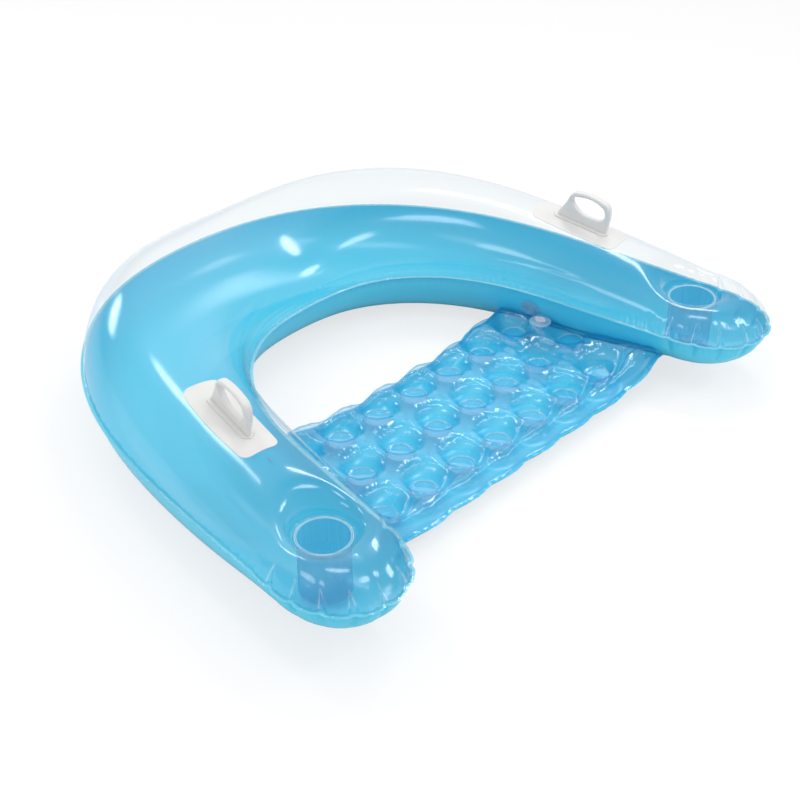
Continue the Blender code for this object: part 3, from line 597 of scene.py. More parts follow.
@dataclass(frozen=True)
class ClearFilm:
    """Clear vinyl film: see-through, with a mirror gloss that grows to the edges and a faint veil.

    Attributes:
        name: the material's name.
        tint: the share of light that comes through where the film is seen square on.
        edge_tint: the same where it is seen edge on, through more of its plastic.
        facing: the share of light that it mirrors square on.
        grazing: the same edge on.
        mirror: the mirror's colour.
        roughness: how soft its highlights are.
        weld_veil: how much milkier a weld is.
        fold_highlight: how much more it mirrors along the two edges of a pleat, a painted highlight.
        fold_width: half the width of a pleat at the seam.
        fold_line: half the width of one such painted highlight line.
    """

    name: str = "clear_film"
    tint: tuple = (0.966, 0.966, 0.960, 1.0)
    edge_tint: tuple = (0.950, 0.955, 0.955, 1.0)
    facing: float = 0.070
    grazing: float = 0.72
    mirror: tuple = (0.93, 0.95, 1.0, 1.0)
    roughness: float = 0.145
    weld_veil: float = 0.16
    fold_highlight: float = 0.24
    fold_width: float = 0.0068
    fold_line: float = 0.0010

    def material(self) -> bpy.types.Material:
        """Builds the material.

        Returns:
            The material.
        """
        n = Nodes.of_material(self.name)
        normal = self.normal(n)
        turned = n.facing(normal)
        share = n.edge_gloss(turned, self.facing, self.grazing)
        share = n.math("ADD", share, n.math("MULTIPLY", n.value("weld"), self.weld_veil))
        # Painted highlight: the film mirrors more along both edges of each pleat.
        share = n.math("ADD", share, n.math("MULTIPLY", self.pleat_edge_highlights(n), self.fold_highlight), clamp=True)
        colour = n.add("ShaderNodeMix", {0: turned, 6: self.tint, 7: self.edge_tint}, data_type="RGBA")
        through = n.add("ShaderNodeBsdfTransparent", {"Color": colour.outputs[2]})
        gloss = {"Base Color": self.mirror, "Metallic": 1.0, "Roughness": self.roughness}
        if normal is not None:
            gloss["Normal"] = normal
        mirror = n.add("ShaderNodeBsdfPrincipled", gloss)
        return n.finish(n.mix(share, through, mirror).outputs[0])

    def normal(self, n: Nodes) -> bpy.types.NodeSocket | None:
        """The bumped normal, if the film is wrinkled."""
        return None

    def pleat_edge_highlights(self, n: Nodes) -> bpy.types.NodeSocket:
        """The painted highlight lines along the two edges of each pleat, which meet at its inner end.

        Args:
            n: the material's nodes.

        Returns:
            How strong they are, from 0 to 1.
        """
        off, inwards = n.value("fold"), n.value("inwards")
        left = n.math("SUBTRACT", 1.0, inwards, clamp=True)
        half = n.math("MULTIPLY", n.math("POWER", left, 0.7), self.fold_width)
        line = n.bell(n.math("SUBTRACT", off, half), 0.0, self.fold_line)
        for value, least in ((left, 0.0), (off, 0.0002), (inwards, 0.02)):
            line = n.math("MULTIPLY", line, n.math("GREATER_THAN", value, least))
        return line


@dataclass(frozen=True)
class SeatFilm(ClearFilm):
    """The seat's clear film, with fine wrinkles round its welds and over its front roll.

    Attributes:
        count: the number of radial wrinkles round a weld.
        ring: the distance from a weld's centre at which they are deepest.
        ring_width: how far they reach to both sides of that.
        depth: their depth.
        roll_y: the Y of the front roll's crest.
        roll_width: how far its wrinkles reach to both sides of that.
        roll_pitch: the pitch of the wrinkles across it.
        roll_depth: their depth.
        patch_scale: the scale of the noise that leaves wrinkles out.
        stray_scale: the scale of the noise by which they stray.
        stray: how far they do, as an angle.
    """

    count: int = 47
    ring: float = 0.0455
    ring_width: float = 0.0100
    depth: float = 0.00036
    roll_y: float = -0.4040
    roll_width: float = 0.0085
    roll_pitch: float = 0.0056
    roll_depth: float = 0.00030
    patch_scale: float = 24.0
    stray_scale: float = 55.0
    stray: float = 9.0

    def normal(self, n: Nodes) -> bpy.types.NodeSocket:
        """The normal, bumped by both kinds of wrinkle.

        Args:
            n: the material's nodes.

        Returns:
            The normal.
        """
        place_at = n.add("ShaderNodeTexCoord").outputs["Object"]
        axes = n.add("ShaderNodeSeparateXYZ", {0: place_at})
        broad = n.add("ShaderNodeTexNoise", {"Vector": place_at, "Scale": self.patch_scale, "Detail": 1.0})
        fine = n.add("ShaderNodeTexNoise", {"Vector": place_at, "Scale": self.stray_scale, "Detail": 0.0})
        x, y = n.value("off_x"), n.value("off_y")
        heading = n.math("ARCTAN2", y, x)
        reach = n.math("SQRT", n.math("ADD", n.math("MULTIPLY", x, x), n.math("MULTIPLY", y, y)))
        wobble = n.math("MULTIPLY", fine.outputs["Fac"], self.stray)
        radial = n.math("SINE", n.math("ADD", n.math("MULTIPLY", heading, float(self.count)), wobble))
        back = n.math("SINE", n.math("ADD", heading, 0.35))
        back = n.math("ADD", n.math("MULTIPLY", back, 0.75), 0.35, clamp=True)
        patch = n.math("MULTIPLY", n.math("SUBTRACT", broad.outputs["Fac"], 0.40), 5.0, clamp=True)
        ring = n.bell(reach, self.ring, self.ring_width)
        rims = n.math("MULTIPLY", n.math("MULTIPLY", radial, ring), n.math("MULTIPLY", back, patch))
        across = n.math("MULTIPLY", axes.outputs["X"], 2 * math.pi / self.roll_pitch)
        pleats = n.math("SINE", n.math("ADD", across, wobble))
        crest = n.bell(axes.outputs["Y"], self.roll_y, self.roll_width)
        rolls = n.math("MULTIPLY", n.math("MULTIPLY", pleats, crest), patch)
        rolls = n.math("MULTIPLY", rolls, self.roll_depth)
        height = n.math("ADD", n.math("MULTIPLY", rims, self.depth), rolls)
        bump = n.add("ShaderNodeBump", {"Height": height, "Distance": 1.0, "Strength": 1.0})
        return bump.outputs["Normal"]


@dataclass(frozen=True)
class CupFilm:
    """The cup holders' film: see-through blue with upright streaks, thinner towards the foot.

    Attributes:
        name: the material's name.
        colour: its colour.
        roughness: how soft its gloss is.
        body: the opaque share of light.
        tint: the light that comes through the rest.
        streak_scale: the streaks' scale across.
        streak_length_share: their scale upwards, as a share of that.
    """

    name: str = "cup_film"
    colour: tuple = (0.20, 0.60, 0.80, 1.0)
    roughness: float = 0.5
    body: float = 0.40
    tint: tuple = (0.76, 0.87, 0.93, 1.0)
    streak_scale: float = 90.0
    streak_length_share: float = 0.04

    def material(self) -> bpy.types.Material:
        """Builds the material.

        Returns:
            The material.
        """
        n = Nodes.of_material(self.name)
        place_at = n.add("ShaderNodeTexCoord").outputs["Object"]
        flat = (1.0, 1.0, self.streak_length_share)
        tall = n.add("ShaderNodeVectorMath", {0: place_at, 1: flat}, operation="MULTIPLY")
        noise = {"Vector": tall.outputs[0], "Scale": self.streak_scale, "Detail": 2.0}
        streaks = n.add("ShaderNodeTexNoise", noise)
        fade = n.value("fade")
        share = n.math("ADD", n.math("MULTIPLY", streaks.outputs["Fac"], 0.5), 0.75)
        share = n.math("MULTIPLY", share, n.math("ADD", n.math("MULTIPLY", fade, 0.6), 0.4))
        share = n.math("MULTIPLY", share, self.body, clamp=True)
        return n.vinyl(self.colour, self.roughness, share, self.tint)


@dataclass(frozen=True)
class Moulded:
    """Vinyl with a soft gloss, milky where some light passes through it.

    Attributes:
        name: the material's name.
        colour: its colour.
        roughness: how soft its gloss is.
        through: the share of light that comes through.
        tint: that light's colour.
    """

    name: str
    colour: tuple
    roughness: float = 0.38
    through: float = 0.0
    tint: tuple = (0.90, 0.95, 0.98, 1.0)

    def material(self) -> bpy.types.Material:
        """Builds the material.

        Returns:
            The material.
        """
        n = Nodes.of_material(self.name)
        return n.vinyl(self.colour, self.roughness, 1 - self.through, self.tint)


# Repeated rings


@dataclass(frozen=True)
class WeldRings:
    """Fine weld beads round circles, made by one Geometry Nodes tree.

    Each point of the input mesh carries a radius and an up direction. The tree sets a bead of that
    radius on each point.

    Attributes:
        name: the piece's name.
        finish: its material.
        bead: the radius of a bead's section.
        steps: the steps round a circle.
    """

    name: str
    finish: bpy.types.Material
    bead: float
    steps: int

    def tree(self) -> bpy.types.NodeTree:
        """The tree, with the bead's radius, its steps and its material as named inputs.

        Returns:
            The tree.
        """
        tree = bpy.data.node_groups.new("weld_rings", "GeometryNodeTree")
        face = tree.interface
        inputs = (("Geometry", "Geometry"), ("Bead", "Float"), ("Steps", "Int"), ("Finish", "Material"))
        for name, kind in inputs:
            face.new_socket(name, in_out="INPUT", socket_type="NodeSocket" + kind)
        face.new_socket("Geometry", in_out="OUTPUT", socket_type="NodeSocketGeometry")
        n = Nodes(tree, "NodeGroupOutput")
        given = n.add("NodeGroupInput").outputs
        circle = "GeometryNodeCurvePrimitiveCircle"
        named = "GeometryNodeInputNamedAttribute"
        radius = n.add(named, {"Name": "radius"}, data_type="FLOAT").outputs["Attribute"]
        up = n.add(named, {"Name": "up"}, data_type="FLOAT_VECTOR").outputs["Attribute"]
        turn = n.add("FunctionNodeAlignRotationToVector", {"Vector": up}, axis="Z").outputs["Rotation"]
        loop = n.add(circle, {"Resolution": given["Steps"], "Radius": 1.0}).outputs["Curve"]
        places = {"Points": given["Geometry"], "Instance": loop, "Rotation": turn, "Scale": radius}
        put = n.add("GeometryNodeInstanceOnPoints", places).outputs["Instances"]
        real = n.add("GeometryNodeRealizeInstances", {"Geometry": put}).outputs["Geometry"]
        section = n.add(circle, {"Resolution": 6, "Radius": given["Bead"]}).outputs["Curve"]
        bead = n.add("GeometryNodeCurveToMesh", {"Curve": real, "Profile Curve": section}).outputs["Mesh"]
        colour = n.add("GeometryNodeSetMaterial", {"Geometry": bead, "Material": given["Finish"]})
        return n.finish(colour.outputs["Geometry"])

    def build(self, points: Points, radii: Points, ups: Points, slot: str) -> bpy.types.Object:
        """Makes the beads as one plain mesh.

        Args:
            points: the circles' centres.
            radii: their radii.
            ups: the directions square to them.
            slot: not used.

        Returns:
            The object.
        """
        seeds = bpy.data.meshes.new(self.name + "_places")
        seeds.from_pydata([tuple(p) for p in points], [], [])
        layer = seeds.attributes.new("radius", "FLOAT", "POINT")
        layer.data.foreach_set("value", np.asarray(radii, np.float32))
        layer = seeds.attributes.new("up", "FLOAT_VECTOR", "POINT")
        layer.data.foreach_set("vector", np.asarray(ups, np.float32).ravel())
        holder = bpy.data.objects.new(self.name + "_places", seeds)
        bpy.context.scene.collection.objects.link(holder)
        tree = self.tree()
        modifier = holder.modifiers.new("rings", "NODES")
        modifier.node_group = tree
        wanted = {"Bead": self.bead, "Steps": self.steps, "Finish": self.finish}
        for item in tree.interface.items_tree:
            if item.in_out == "INPUT" and item.name in wanted:
                modifier[item.identifier] = wanted[item.name]
        bpy.context.view_layer.update()
        graph = bpy.context.evaluated_depsgraph_get()
        mesh = bpy.data.meshes.new_from_object(holder.evaluated_get(graph))
        holder.modifiers.clear()
        bpy.data.objects.remove(holder)
        mesh.shade_smooth()
        return place(bpy.data.objects.new(self.name, mesh), self.finish)


# The tube


class Layer(Enum):
    """The two films of a chamber, by the word in the frame's names."""

    UPPER = "upper"
    LOWER = "lower"


@dataclass(frozen=True)
class RimLine:
    """One seam line of the tube on the left arm, from the plane of symmetry to the tip.

    Attributes:
        side: 1 for the horseshoe's outer side, -1 for its inner side.
        line: its points in plan.
        outwards: the plan directions away from the tube.
        level: its height.
    """

    side: float
    line: Points
    outwards: Points
    level: float

    @property
    def length(self) -> Points:
        """The length along the line up to each point, as a column."""
        return running_length(self.line, 0)[:, None]

    def raised(self, offset: float) -> Points:
        """The line at its height, moved outwards in plan."""
        plan = self.line + self.outwards * offset
        return np.concatenate([plan, np.full((len(plan), 1), self.level)], -1)


def framed(values: Points, flange: float, hole: float) -> Points:
    """Values of a film's grid, with two rows before them for its flange and one after for its hole."""
    return np.pad(values, ((0, 0), (2, 1)), constant_values=((0, 0), (flange, hole)))


@dataclass
class Tube:
    """The inflated horseshoe: a clear upper film and a blue lower film, welded along a flat rim.

    Attributes:
        ring: the tube's form.
        clear: the upper film's material.
        blue: the lower film's material.
        arm_columns: the upper film's columns from the back to the dip before a cup holder.
        dip_columns: its columns over that dip.
        arc_columns: its columns along the cup holder, up to its middle.
        lower_columns: the lower film's columns up to the cup holder's middle.
        cap_columns: the columns of both films round the tip.
        rows: the rows of both films.
        upper_crowding: how much closer the upper film's rows stand at both its edges.
        lower_crowding: how much closer the lower film's rows stand at the seam.
        cup_hole: the radius of the upper film's hole.
        cup_flat: the radius of the level ring round that hole.
        lip_level: the level ring's height.
        dip_length: how far the film is drawn down round it.
        dip_power: how steeply.
        edge_wave: the height of the waves along the weld's edge.
        edge_pitch: their pitch.
        inner_wave_share: their height on the horseshoe's inner side, as a share.
        pucker_depth: the depth of the fine puckers along the seam.
        pucker_pitch: their pitch.
        pucker_at: the distance from the seam at which they are deepest.
        pucker_from: the distance from the plane of symmetry at which they have their depth.
        pucker_reaches: how wide they are on the upper film's outer and inner side and the lower film.
        film_gap: how far the lower film stays inside its solid.
        floor_gap: its least height over the floor.
        pleat_pitch: the pitch of the pleats round a tip.
        pleat_depth: their depth.
        pleat_length: their length from the seam.
        pleat_width: half their width at the inner end.
        pleat_flare: how much wider half of one is at the seam.
        pleat_reach: how far round the tip they go.
        weld_band: how far inside the seam the upper film is milky.
        weld_rise: how far the upper film's weld bulges.
        weld_drop: how far the lower film's weld lies under it.
        outer_veils: how milky the upper film is in that band and on its weld, on the outer side.
        inner_veils: the same on the inner side.
        tuck: how far a pleat draws the seam in.
        tuck_width: half the width of that draw along the seam.
        tuck_fall: how fast it falls off inwards.
        tuck_puff: how far the seam puffs out between two pleats at the most.
        crease_from_tip: how far from the tip the long creases start.
        seam_wander: how far the upper film's puckers stray along the seam.
        upper_wander: how far their waves stray, as an angle.
        lower_wander: the same for the lower film.
        unevenness: the upper film's soft unevenness.
        pleat_wander: how far the pleats stray.
        crease_wander: how far the long creases stray.
        creases: the long creases along the inner seam, each with its distance, width and depth.
    """

    ring: Ring
    clear: bpy.types.Material
    blue: bpy.types.Material
    arm_columns: int = 128
    dip_columns: int = 26
    arc_columns: int = 22
    lower_columns: int = 200
    cap_columns: int = 92
    rows: int = 84
    upper_crowding: float = 0.82
    lower_crowding: float = 0.7
    cup_hole: float = 0.0493
    cup_flat: float = 0.058266
    lip_level: float = 0.1682
    dip_length: float = 0.075
    dip_power: float = 2.6
    edge_wave: float = 0.00048
    edge_pitch: float = 0.021
    inner_wave_share: float = 0.169
    pucker_depth: float = 0.0011
    pucker_pitch: float = 0.0135
    pucker_at: float = 0.004
    pucker_from: float = 0.02
    pucker_reaches: tuple = (0.016, 0.022, 0.018)
    film_gap: float = 0.0004
    floor_gap: float = 0.0003
    pleat_pitch: float = 0.055
    pleat_depth: float = 0.0055
    pleat_length: float = 0.044
    pleat_width: float = 0.0030
    pleat_flare: float = 0.0020
    pleat_reach: float = 0.30
    weld_band: float = 0.0125
    weld_rise: float = 0.0006
    weld_drop: float = 0.0003
    outer_veils: tuple = (0.06, 0.1)
    inner_veils: tuple = (0.25, 0.5)
    tuck: float = 0.0045
    tuck_width: float = 0.0075
    tuck_fall: float = 0.030
    tuck_puff: float = 0.0012
    crease_from_tip: float = 0.40
    seam_wander: Swell = Swell(0.006, 0.12, 3)
    upper_wander: Swell = Swell(2.0, 0.05, 5)
    lower_wander: Swell = Swell(2.0, 0.05, 6)
    unevenness: Swell = Swell(0.0004, 0.16, 11)
    pleat_wander: Swell = Swell(0.002, 0.06, 41)
    crease_wander: Swell = Swell(0.004, 0.5, 17)
    creases: tuple = ((0.012, 0.0028, 0.0014), (0.024, 0.0030, 0.0012), (0.060, 0.0040, 0.0010))

    def build(self) -> list:
        """Makes both films."""
        return [self.upper(), self.lower()]

    def rim(self, stations: Points, cap: Points, side: float) -> tuple:
        """A seam line of the left arm.

        Args:
            stations: the stations of its points up to the cup holder's middle.
            cap: the angle shares of its points round the tip.
            side: 1 for the outer side, -1 for the inner side.

        Returns:
            The line, and the station of each of its points.
        """
        cap_points, cap_stations = self.ring.cap_rim(cap, side)
        line = np.concatenate([self.ring.arm_rim(stations, side), cap_points])
        along = unit(np.gradient(line, axis=0))
        outwards = np.stack([-along[:, 1], along[:, 0]], -1) * side
        outwards[0] = (0.0, side)
        outwards[-1] = self.ring.along(np.array(self.ring.end))
        rim = RimLine(side, line, outwards, self.ring.form.seam_height)
        return rim, np.concatenate([stations, cap_stations])

    def upper(self) -> bpy.types.Object:
        """Makes the clear upper film, drawn down round each cup holder.

        Returns:
            The film.
        """
        flat_from = self.ring.cup - self.cup_flat
        dip_from = flat_from - self.dip_length
        arm = np.linspace(0, dip_from, self.arm_columns, endpoint=False)
        dip = np.linspace(dip_from, flat_from, self.dip_columns, endpoint=False)
        arc = math.pi / 2 * (1 - np.arange(self.arc_columns) / self.arc_columns)
        cap = np.linspace(0.0, 1.0, self.cap_columns + 1)
        stations = np.concatenate([arm, dip, self.ring.cup - self.cup_flat * np.sin(arc)])
        turn = np.concatenate([math.pi / 2 + arc, math.pi / 2 * (1 - cap)])
        turn = np.pad(turn, (len(arm) + len(dip), 0), constant_values=np.nan)
        skin = Skin("tube_upper_film")
        for side in (1.0, -1.0):
            rim, s = self.rim(stations, cap, side)
            grid = self.upper_grid(rim, s, turn, cap)
            for mirror in (1.0, -1.0):
                self.add_upper(skin, rim, grid, np.isnan(turn), mirror)
        return skin.build(self.clear, "clear_vinyl", "ring_upper_sheet")

    def upper_grid(self, rim: RimLine, s: Points, turn: Points, cap: Points) -> Points:
        """The upper film without its relief: half an ellipse, with a funnel down to the cup holder.

        Args:
            rim: the seam line that it starts from.
            s: the station of each of its columns.
            turn: the angle from the tip at which a column meets the level ring, or NaN where it
                ends on the spine.
            cap: the angle shares of the columns round the tip, which come last.

        Returns:
            Its points, each column from the seam inwards.
        """
        ring, centre, at_cup = self.ring, self.ring.cup_centre(), np.array(self.ring.cup)
        round_tip = np.arange(len(s)) >= len(s) - len(cap)
        middle = np.where(round_tip[:, None], centre, ring.spine(s))
        crown = ring.crown(s)
        first, last = float(ring.crown(ring.cup)), float(ring.crown(ring.end))
        crown[round_tip] = first + (last - first) * cap
        angle = np.nan_to_num(turn)[:, None]
        spoke = ring.along(at_cup) * np.cos(angle) + ring.outward(at_cup) * (rim.side * np.sin(angle))
        target = np.where(np.isnan(turn)[:, None], ring.spine(s), centre + spoke * self.cup_flat)
        reach = np.linalg.norm(rim.line - middle, axis=-1)
        inset = np.linalg.norm(target - middle, axis=-1) / reach
        lip = self.lip_level - rim.level
        sweep = np.arccos(np.clip(inset, 0, 1)) + np.where(inset > 1e-9, lip / crown, 0.0)
        q = np.linspace(0, 1, self.rows)
        q = q - self.upper_crowding * np.sin(2 * math.pi * q) / (2 * math.pi)
        share = (1 - np.cos(sweep[:, None] * q)) / (1 - np.cos(sweep))[:, None]
        plan = rim.line[:, None] + (target - rim.line)[:, None] * share[..., None]
        across = np.minimum(np.linalg.norm(plan - middle[:, None], axis=-1) / reach[:, None], 1.0)
        natural = crown[:, None] * np.sqrt(1 - across**2)
        out = (np.linalg.norm(plan - centre, axis=-1) - self.cup_flat) / self.dip_length
        rise = np.sqrt(1 - (1 - np.clip(out, 0.0, 1.0)) ** self.dip_power)
        height = rim.level + lip + (natural - lip) * rise
        return np.concatenate([plan, height[..., None]], -1)

    def add_upper(self, skin: Skin, rim: RimLine, grid: Points, bare: Points, mirror: float) -> None:
        """Adds one side of one arm to the upper film, from its flange to the edge of its hole.

        Args:
            skin: the film.
            rim: the seam line.
            grid: the film without its relief, on the left arm.
            bare: which of its columns end on the spine.
            mirror: 1 for the left arm, -1 for the right.
        """
        points, arc = grid * (mirror, 1.0, 1.0), running_length(grid, 1)
        normals = grid_normals(grid, 1.0)
        normals[bare, -1] = (0.0, 0.0, 1.0)
        centre = self.ring.cup_centre()
        off_cup = grid[..., :2] - centre
        off_flat = np.linalg.norm(off_cup, axis=-1) - self.cup_flat
        free = np.where(bare[:, None], 1.0, smoothstep(1.0 - bell(off_flat, 0.004)))
        push = self.upper_relief(rim, points, arc) * free
        film = self.tucked(rim, grid + normals * push[..., None], arc)
        hole = film[:, -1:].copy()
        hole[~bare, 0, :2] = (centre + unit(off_cup[:, -1]) * self.cup_hole)[~bare]
        flange = self.flange(rim, mirror, 0.0, self.weld_rise)
        whole = np.concatenate([flange, film, hole], axis=1) * (mirror, 1.0, 1.0)
        keep = np.ones((whole.shape[0] - 1, whole.shape[1] - 1), bool)
        keep[bare[:-1], -1] = False
        veil, flange_veil = self.outer_veils if rim.side > 0 else self.inner_veils
        off, tip = self.pleat_offset(rim, points)
        skin.add(
            whole,
            keep=keep,
            weld=framed(veil * smoothstep((self.weld_band - arc) / 0.0012), flange_veil, 0.0),
            # fold: the distance to the nearest pleat, where the film's material paints its highlight lines.
            fold=framed(np.where(tip > 0.3, np.abs(off), 1.0), 1.0, 1.0),
            inwards=framed(arc / self.pleat_length, 0.0, 1.0),
        )

    def flange(self, rim: RimLine, mirror: float, edge_lift: float, middle_lift: float) -> Points:
        """The flat weld outside the seam.

        Args:
            rim: the seam line.
            mirror: 1 for the left arm, -1 for the right, whose waves are shifted.
            edge_lift: how much its edge is raised.
            middle_lift: how much its middle is raised besides.

        Returns:
            Two points for each one of the seam: at the edge, and halfway to the seam.
        """
        height = self.edge_wave * (1.0 if rim.side > 0 else self.inner_wave_share)
        edge = rim.raised(self.ring.form.rim_width)
        edge[:, 2:] += height * np.sin(rim.length * 2 * math.pi / self.edge_pitch + mirror) + edge_lift
        middle = (edge + rim.raised(0.0)) / 2 + (0.0, 0.0, middle_lift)
        return self.tucked(rim, np.stack([edge, middle], 1), np.zeros((len(edge), 2)))

    def by_seam(self, rim: RimLine, arc: Points, reach: float) -> Points:
        """How strong the seam's puckers are: full beside it, none on the plane of symmetry."""
        start = smoothstep(rim.length / self.pucker_from)
        return self.pucker_depth * bell(arc - self.pucker_at, reach) * start

    def upper_relief(self, rim: RimLine, points: Points, arc: Points) -> Points:
        """How far the upper film stands out or in: puckers, pleats, unevenness and long creases.

        Args:
            rim: the seam line.
            points: the film's points.
            arc: their distance from the seam along the film.

        Returns:
            The distance along the film's normal at each point.
        """
        along = rim.length + self.seam_wander.at(points)
        fine = np.sin(along * 2 * math.pi / self.pucker_pitch + self.upper_wander.at(points))
        push = fine * self.by_seam(rim, arc, self.pucker_reaches[rim.side < 0])
        push += self.pleats(rim, points, arc)
        push += self.unevenness.at(points) * smoothstep(arc / 0.05)
        if rim.side < 0:
            from_tip = rim.length[-1] - rim.length
            fade = smoothstep((from_tip - self.crease_from_tip) / 0.12) * smoothstep(rim.length / 0.10)
            for distance, width, depth in self.creases:
                off = arc - distance - self.crease_wander.at(points[..., :2])
                push -= depth * bell(off, width) * fade
        return push

    def pleat_offset(self, rim: RimLine, points: Points) -> tuple:
        """Where the pleats lie.

        Args:
            rim: the seam line.
            points: points of the film.

        Returns:
            The distance along the rim from each point to the nearest pleat, and how much the film
            is pleated there.
        """
        from_tip = rim.length[-1] - rim.length + self.pleat_wander.at(points)
        share = from_tip / self.pleat_pitch
        off = (share - np.round(share)) * self.pleat_pitch
        return off, smoothstep((self.pleat_reach - from_tip) / 0.08)

    def tucked(self, rim: RimLine, film: Points, arc: Points) -> Points:
        """The film drawn in at each pleat and puffed out between them, in plan, near the seam.

        Args:
            rim: the seam line.
            film: the film's points.
            arc: their distance from the seam along the film.

        Returns:
            The moved points.
        """
        off, tip = self.pleat_offset(rim, film)
        draw = self.tuck * (bell(off, self.tuck_width) - 0.35) * tip * np.exp(-arc / self.tuck_fall)
        film = film.copy()
        film[..., :2] -= rim.outwards[:, None] * np.maximum(draw, -self.tuck_puff)[..., None]
        return film

    def pleats(self, rim: RimLine, points: Points, arc: Points) -> Points:
        """The short radial pleats round an arm's tip, with the film puffed up between them.

        Args:
            rim: the seam line.
            points: the film's points.
            arc: their distance from the seam along the film.

        Returns:
            The distance along the film's normal at each point.
        """
        off, tip = self.pleat_offset(rim, points)
        inwards = np.clip(arc / self.pleat_length, 0, 1)
        lens = np.sqrt(inwards) * (1 - inwards)
        groove = -self.pleat_depth * bell(off, self.pleat_width + self.pleat_flare * (1 - inwards))
        lobe = 0.42 * self.pleat_depth * np.cos(math.pi * off / self.pleat_pitch) ** 2
        return 2.2 * lens * (groove + 0.4 * self.pleat_depth - lobe) * tip

    def lower(self) -> bpy.types.Object:
        """Makes the blue lower film, pressed flat where it lies on the floor.

        Returns:
            The film.
        """
        ring = self.ring
        stations = np.linspace(0, ring.cup, self.lower_columns, endpoint=False)
        cap = np.linspace(0.0, 1.0, self.cap_columns + 1)
        q = np.linspace(0, 1, self.rows)
        turns = math.pi / 2 * (q - self.lower_crowding * np.sin(math.pi * q) / math.pi)
        skin = Skin("tube_lower_film")
        for side in (1.0, -1.0):
            rim, s = self.rim(stations, cap, side)
            s = np.minimum(s, ring.cup)
            target = ring.spine(s)
            plan = target[:, None] + (rim.line - target)[:, None] * np.cos(turns)[:, None]
            height = rim.level - ring.depth(s)[:, None] * np.sin(turns)
            grid = np.concatenate([plan, height[..., None]], -1)
            for mirror in (1.0, -1.0):
                self.add_lower(skin, rim, grid, mirror)
        return skin.build(self.blue, "blue_vinyl", "ring_lower_sheet")

    def add_lower(self, skin: Skin, rim: RimLine, grid: Points, mirror: float) -> None:
        """Adds one side of one arm to the lower film, with its flange.

        Args:
            skin: the film.
            rim: the seam line.
            grid: the film without its relief, on the left arm.
            mirror: 1 for the left arm, -1 for the right.
        """
        points, arc = grid * (mirror, 1.0, 1.0), running_length(grid, 1)
        normals = grid_normals(grid, -1.0)
        normals[:, -1] = (0.0, 0.0, -1.0)
        fine = np.sin(rim.length * 2 * math.pi / self.pucker_pitch + self.lower_wander.at(points))
        push = -0.5 * (1 + fine) * self.by_seam(rim, arc, self.pucker_reaches[2])
        push += 0.7 * self.pleats(rim, points, arc) - self.film_gap
        film = grid + normals * push[..., None]
        film[..., 2] = np.maximum(film[..., 2], self.floor_gap)
        flange = self.flange(rim, mirror, -self.weld_drop, -self.weld_drop)
        whole = np.concatenate([flange, self.tucked(rim, film, arc)], axis=1)
        skin.add(whole * (mirror, 1.0, 1.0), faces_up=False)


# The seat


